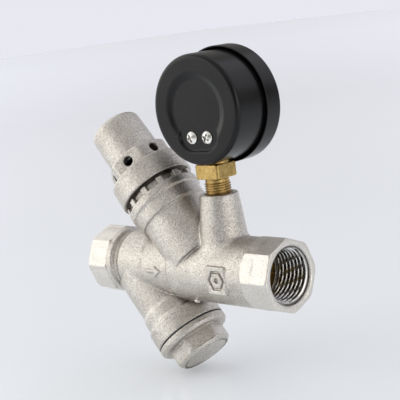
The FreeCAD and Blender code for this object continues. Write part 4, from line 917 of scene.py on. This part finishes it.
def case_screw(name, across):
    """A pan-head screw with a cross recess, seen from the back of the gauge."""
    centre = GAUGE.world([(across, SCREW_DROP, -6.6)])[0]
    axis = Axis(centre, GAUGE.across, -GAUGE.sideways, -GAUGE.along)
    grid = Grid((-2.9, -2.9, -3.6), (2.9, 2.9, 1.8), 0.075)
    radius, along = grid.round_axis()
    dome = np.sqrt(radius ** 2 + (along + 1.8) ** 2) - 3.2
    head = overlap(cylinder(radius, along, 2.5, 0, 1.4, 0.3), dome, 0.2)
    solid = np.minimum(head, cylinder(radius, along, 1.0, -3.1, 0.5, 0.1))
    turn = math.radians(20 if across < 0 else 62)
    u, v = spun(turn, grid.x, grid.y)
    depth = 0.05 + 0.4 * radius
    for first, second in ((u, v), (v, u)):
        slot = np.maximum(np.abs(first) - 1.55, np.abs(second) - (0.5 - 0.1 * np.abs(first)))
        slot = np.maximum(slot, depth - along)
        solid = carve(solid, slot, 0.1)
    return skin(name, solid, grid, axis)


def case_screws():
    return [case_screw("case_screw_left", -SCREW_REACH), case_screw("case_screw_right", SCREW_REACH)]


def bezel():
    return turned("bezel_ring", GAUGE, [
        (18.7, 15.1, 0.35), (18.7, 14.1, 0.2), (20.95, 14.1, 0.2), (20.95, 7.3, 0.25),
        (21.6, 7.3, 0.25), (21.6, 15.1, 0.85)], 160)


def lens():
    return turned("lens_window", GAUGE, [
        (0, 12, 0), (20.7, 12, 0.2), (20.7, 13.8, 0.2), (0, 13.8, 0)], 128)


# ------------------------------------------------------------------ dial
def dial_angle(share):
    """Where a share of the scale lies, clockwise as read, from the lower left."""
    return math.radians(225 - 270 * share)


def dial_point(radius, angle, height=8.16):
    """A point of the dial face in the gauge's frame; the reader's right is its -across."""
    return (-radius * math.cos(angle), -radius * math.sin(angle), height)


def scale_marks(name, marks):
    """Thin raised bars on the dial: each mark is (angle, inner, outer, width)."""
    points, faces = [], []
    for angle, inner, outer, width in marks:
        side = Vector((math.sin(angle), -math.cos(angle), 0)) * (width / 2)
        first = len(points)
        for height in (8.09, 8.15):
            a = Vector(dial_point(inner, angle, height))
            b = Vector(dial_point(outer, angle, height))
            points += [tuple(a - side), tuple(b - side), tuple(b + side), tuple(a + side)]
        for face in ((0, 1, 2, 3), (7, 6, 5, 4), (0, 4, 5, 1), (1, 5, 6, 2), (2, 6, 7, 3), (3, 7, 4, 0)):
            faces.append(tuple(first + i for i in face))
    return clean(mesh_object(name, GAUGE.world(points), faces, smooth=False))


def scale_arc(name, inner, outer, first_share, last_share, segments=96):
    """A thin raised band of the dial between two shares of the scale."""
    points, faces = [], []
    for i in range(segments + 1):
        angle = dial_angle(first_share + (last_share - first_share) * i / segments)
        for height in (8.09, 8.14):
            points.append(dial_point(inner, angle, height))
            points.append(dial_point(outer, angle, height))
    for i in range(segments):
        a, b = 4 * i, 4 * (i + 1)
        faces += [(a, a + 1, b + 1, b), (a + 2, b + 2, b + 3, a + 3),
                  (a, b, b + 2, a + 2), (a + 1, a + 3, b + 3, b + 1)]
    last = 4 * segments
    faces += [(0, 2, 3, 1), (last, last + 1, last + 3, last + 2)]
    return clean(mesh_object(name, GAUGE.world(points), faces, smooth=False))


def dial_text(name, words, size, place):
    """Raised lettering on the dial, readable from +Y."""
    curve = bpy.data.curves.new(name, "FONT")
    curve.body = words
    curve.size = size * MM
    curve.align_x = "CENTER"
    curve.align_y = "CENTER"
    curve.extrude = 0.03 * MM
    letters = bpy.data.objects.new(name, curve)
    bpy.context.scene.collection.objects.link(letters)
    centre = Vector(GAUGE.world([place])[0]) * MM
    facing = Euler((math.pi / 2, 0, math.pi + GAUGE_TURN)).to_matrix().to_4x4()
    letters.matrix_world = Matrix.Translation(centre) @ facing
    bpy.context.view_layer.update()
    shape = bpy.data.meshes.new_from_object(letters.evaluated_get(bpy.context.evaluated_depsgraph_get()))
    shape.transform(letters.matrix_world)
    bpy.data.objects.remove(letters)
    piece = bpy.data.objects.new(name, shape)
    bpy.context.scene.collection.objects.link(piece)
    return piece


def dial_print():
    """Scale arc, ticks and numbers 0 to 10, with a red limit band."""
    pieces = []
    full = 10
    ticks = []
    for i in range(full * 5 + 1):
        share = i / (full * 5)
        long_tick = i % 5 == 0
        ticks.append((dial_angle(share), 13.7 if long_tick else 15.1, 16.6, 0.42 if long_tick else 0.2))
    pieces.append((scale_marks("dial_ticks", ticks), INK))
    pieces.append((scale_arc("dial_scale_line", 16.6, 16.85, 0, 1), INK))
    pieces.append((scale_arc("dial_limit_band", 17.1, 17.9, 0.8, 1, 24), RED_INK))
    for i in range(0, full + 1, 2):
        place = dial_point(11.2, dial_angle(i / full), 8.13)
        pieces.append((dial_text("dial_number_%d" % i, str(i), 3.1, place), INK))
    pieces.append((dial_text("dial_unit", "bar", 2.4, (0, 7.4, 8.13)), INK))
    return pieces


def pointer():
    """Tapered pointer with a tail and a domed hub, resting at zero."""
    angle = dial_angle(0)
    ahead = -math.cos(angle) * GAUGE.across - math.sin(angle) * GAUGE.sideways
    aside = math.sin(angle) * GAUGE.across - math.cos(angle) * GAUGE.sideways
    axis = Axis(GAUGE.base, ahead, aside, GAUGE.along)
    outline = [(14.5, 0), (12.6, 0.28), (1.7, 0.62), (-3.2, 0.62), (-3.6, 1.15), (-5.5, 1.3)]
    outline += [(x, -y) for x, y in reversed(outline[1:])]
    count = len(outline)
    points = [(x, y, z) for z in (9.33, 9.72) for x, y in outline]
    faces = [tuple(range(count)), tuple(reversed(range(count, 2 * count)))]
    faces += [(i, (i + 1) % count, count + (i + 1) % count, count + i) for i in range(count)]
    blade = clean(mesh_object("pointer_blade", axis.world(np.array(points)), faces, smooth=False))
    bevel = blade.modifiers.new("eased_edges", "BEVEL")
    bevel.width = 0.07 * MM
    bevel.segments = 2
    hub = turned("pointer_hub", GAUGE, [
        (0, 9.25, 0), (1.95, 9.25, 0.1), (1.95, 10.3, 0.45), (0, 10.5, 0)], 48)
    return [blade, hub]


# ------------------------------------------------------------------ springs
WIRE_SIDES = 14
STEPS_A_TURN = 40
MAIN_MEAN = 7
MAIN_WIRE = 1.15
MAIN_TURNS = 6.5
MAIN_SPRING_LOW = 31.0
MAIN_SPRING_HIGH = 57.0


def spring_wire(name, low, high, first_turn, turns):
    """Part of a round-wire coil: it starts at first_turn and climbs from low to high."""
    steps = int(turns * STEPS_A_TURN)
    points, faces = [], []
    for i in range(steps + 1):
        angle = 2 * math.pi * (first_turn + turns * i / steps)
        station = low + (high - low) * i / steps
        for k in range(WIRE_SIDES):
            around = 2 * math.pi * k / WIRE_SIDES
            radius = MAIN_MEAN + MAIN_WIRE * math.cos(around)
            points.append((radius * math.cos(angle), radius * math.sin(angle),
                           station + MAIN_WIRE * math.sin(around)))
    for i in range(steps):
        for k in range(WIRE_SIDES):
            a, b = i * WIRE_SIDES + k, i * WIRE_SIDES + (k + 1) % WIRE_SIDES
            faces.append((a, b, b + WIRE_SIDES, a + WIRE_SIDES))
    last = steps * WIRE_SIDES
    faces.append(tuple(range(WIRE_SIDES)))
    faces.append(tuple(last + k for k in reversed(range(WIRE_SIDES))))
    return clean(mesh_object(name, UPPER.world(points), faces))


def stretch_between(piece, low, high):
    """Half of the setting spring, given its finish and baked in place, with the CAD spring hidden."""
    piece.data.materials.append(SPRING)
    first, last = (tuple(point * MM) for point in UPPER.world([(0, 0, low), (0, 0, high)]))
    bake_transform(piece)
    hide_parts("main_spring")


def springs():
    """The setting spring in two halves, which meet halfway between its two seats."""
    ease = 1.1 * MAIN_WIRE
    low, high = MAIN_SPRING_LOW + ease, MAIN_SPRING_HIGH - ease
    middle = (low + high) / 2
    half = MAIN_TURNS / 2
    lower = spring_wire("main_spring_lower", low, middle, 0, half)
    upper = spring_wire("main_spring_upper", middle, high, half, half)
    stretch_between(lower, MAIN_SPRING_LOW, middle)
    stretch_between(upper, middle, MAIN_SPRING_HIGH)



# ------------------------------------------------------------------ putting the pieces on the bodies
dress(valve_body(), METAL, replaces="valve_body")
dress(bonnet(), CAST, replaces="bonnet")
dress(strainer_plug(), CAST, replaces="strainer_plug")
dress(gauge_socket(), BRASS, replaces="gauge_socket")
dress(gauge_case(), BLACK, replaces="gauge_case")
for screw in case_screws():
    dress(screw, SCREW, replaces="case_screws")
dress(soften(bezel()), BLACK, replaces="gauge_bezel")
dress(soften(lens()), GLASS, replaces="gauge_lens")
for printed, ink in dial_print():
    dress(printed, ink)
for part in pointer():
    dress(part, INK, body="pointer_set", replaces="pointer")
springs()
dress(thread("outlet_thread", FLOW, PORT_LENGTH - 15.2, PORT_LENGTH - 0.9,
             PIPE_PITCH, PIPE_CREST, PIPE_ROOT, PIPE_COVER, 1.2, 0.9), THREAD)
dress(thread("inlet_thread", FLOW, 0.9, 14.2,
             PIPE_PITCH, PIPE_CREST, PIPE_ROOT, PIPE_COVER, 0.9, 1.2), THREAD)
dress(thread("stub_thread", BOSS, 22, 33.4, 0.907, 4.86, 4.36, 4.1, 0.4, 0.5), BRASS)

record_slots = {row["node"]: row["material_slot"] for row in frame["record"]["subparts"]}
for node_name, node in frame["nodes"].items():
    node.data.materials.clear()
    node.data.materials.append(SLOT_FINISH[record_slots[node_name]])
    bevel = node.modifiers.new("eased_edges", "BEVEL")
    bevel.width = 0.06 * MM
    bevel.segments = 1
    bevel.limit_method = "ANGLE"
    bevel.angle_limit = math.radians(40)


# ------------------------------------------------------------------ stage, light and camera
# Each panel of the room: direction, cosines of its outer and inner edge, colour.
WORLD_PANELS = (
    ((0.716, -0.678, 0.166), 0.56, 0.90, (0.18, 0.165, 0.15)),
    ((0.2, -0.35, 0.9), 0.70, 0.95, (0.66, 0.65, 0.64)),
    ((-0.60, 0.60, 0.55), 0.84, 0.95, (0.30, 0.29, 0.28)),
    ((-0.70, -0.68, 0.05), 0.66, 0.86, (1.42, 1.40, 1.36)),
    ((-0.95, -0.20, 0.20), 0.74, 0.90, (1.65, 1.63, 1.58)),
    ((-0.78, 0.10, 0.62), 0.84, 0.95, (1.15, 1.14, 1.13)),
    ((0.72, 0.70, -0.05), 0.86, 0.96, (0.30, 0.29, 0.29)),
    ((0.97, 0.00, 0.02), 0.82, 0.94, (1.9, 1.88, 1.84)),
)


def stage_floor():
    """A large pale floor under the lowest point of the object."""
    low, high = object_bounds()
    centre = (low + high) / 2
    reach = 6.0
    height = low.z - 0.0008
    points = [((centre.x + reach * sx) / MM, (centre.y + reach * sy) / MM, height / MM)
              for sx, sy in ((-1, -1), (1, -1), (1, 1), (-1, 1))]
    floor = mesh_object("floor", points, [(0, 1, 2, 3)], smooth=False)
    floor.data.materials.append(floor_finish())


def soft_light(name, place, target, size, power, colour):
    lamp = bpy.data.lights.new(name, "AREA")
    lamp.energy = power
    lamp.color = colour
    lamp.size = size
    holder = bpy.data.objects.new(name, lamp)
    holder.location = place
    holder.rotation_mode = "QUATERNION"
    holder.rotation_quaternion = (Vector(target) - Vector(place)).to_track_quat("-Z", "Y")
    bpy.context.scene.collection.objects.link(holder)


def studio_world():
    """A pale room with bright panels to the left and right and a dark camera side."""
    world = bpy.data.worlds.new("studio")
    bpy.context.scene.world = world
    world.use_nodes = True
    tree = world.node_tree
    background = tree.nodes["Background"]
    background.inputs["Strength"].default_value = 1.0
    place = tree.nodes.new("ShaderNodeTexCoord")
    colour = (0.81, 0.81, 0.885)
    for direction, outer, inner, tint in WORLD_PANELS:
        toward = tree.nodes.new("ShaderNodeVectorMath")
        toward.operation = "DOT_PRODUCT"
        toward.inputs[1].default_value = Vector(direction).normalized()
        tree.links.new(place.outputs["Generated"], toward.inputs[0])
        share = tree.nodes.new("ShaderNodeMapRange")
        share.interpolation_type = "SMOOTHSTEP"
        for key, number in zip(("From Min", "From Max", "To Min", "To Max"), (outer, inner, 0, 1)):
            share.inputs[key].default_value = number
        tree.links.new(toward.outputs["Value"], share.inputs["Value"])
        mixed = tree.nodes.new("ShaderNodeMix")
        mixed.data_type = "RGBA"
        if isinstance(colour, tuple):
            mixed.inputs[6].default_value = (*colour, 1)
        else:
            tree.links.new(colour, mixed.inputs[6])
        mixed.inputs[7].default_value = (*tint, 1)
        tree.links.new(share.outputs["Result"], mixed.inputs[0])
        colour = mixed.outputs[2]
    tree.links.new(colour, background.inputs["Color"])


def camera():
    lens_data = bpy.data.cameras.new("camera")
    lens_data.lens = 99.63
    lens_data.sensor_width = 36
    lens_data.clip_start = 0.01
    lens_data.clip_end = 50
    holder = bpy.data.objects.new("camera", lens_data)
    back = Vector((0.71644, -0.67765, 0.16584))
    up = Vector((-0.0326, 0.2049, 0.9783))
    right = up.cross(back).normalized()
    up = back.cross(right)
    turned_frame = Matrix((right, up, back)).transposed().to_4x4()
    turned_frame.translation = Vector((351.88, -279.99, 94.40)) * MM
    holder.matrix_world = turned_frame
    bpy.context.scene.collection.objects.link(holder)
    bpy.context.scene.camera = holder


stage_floor()
studio_world()
soft_light("key_light", (-0.45, -0.60, 0.30), (0.045, 0, 0.02), 0.5, 0.3, (1.0, 0.99, 0.97))
camera()
bpy.context.scene.view_settings.view_transform = "Standard"
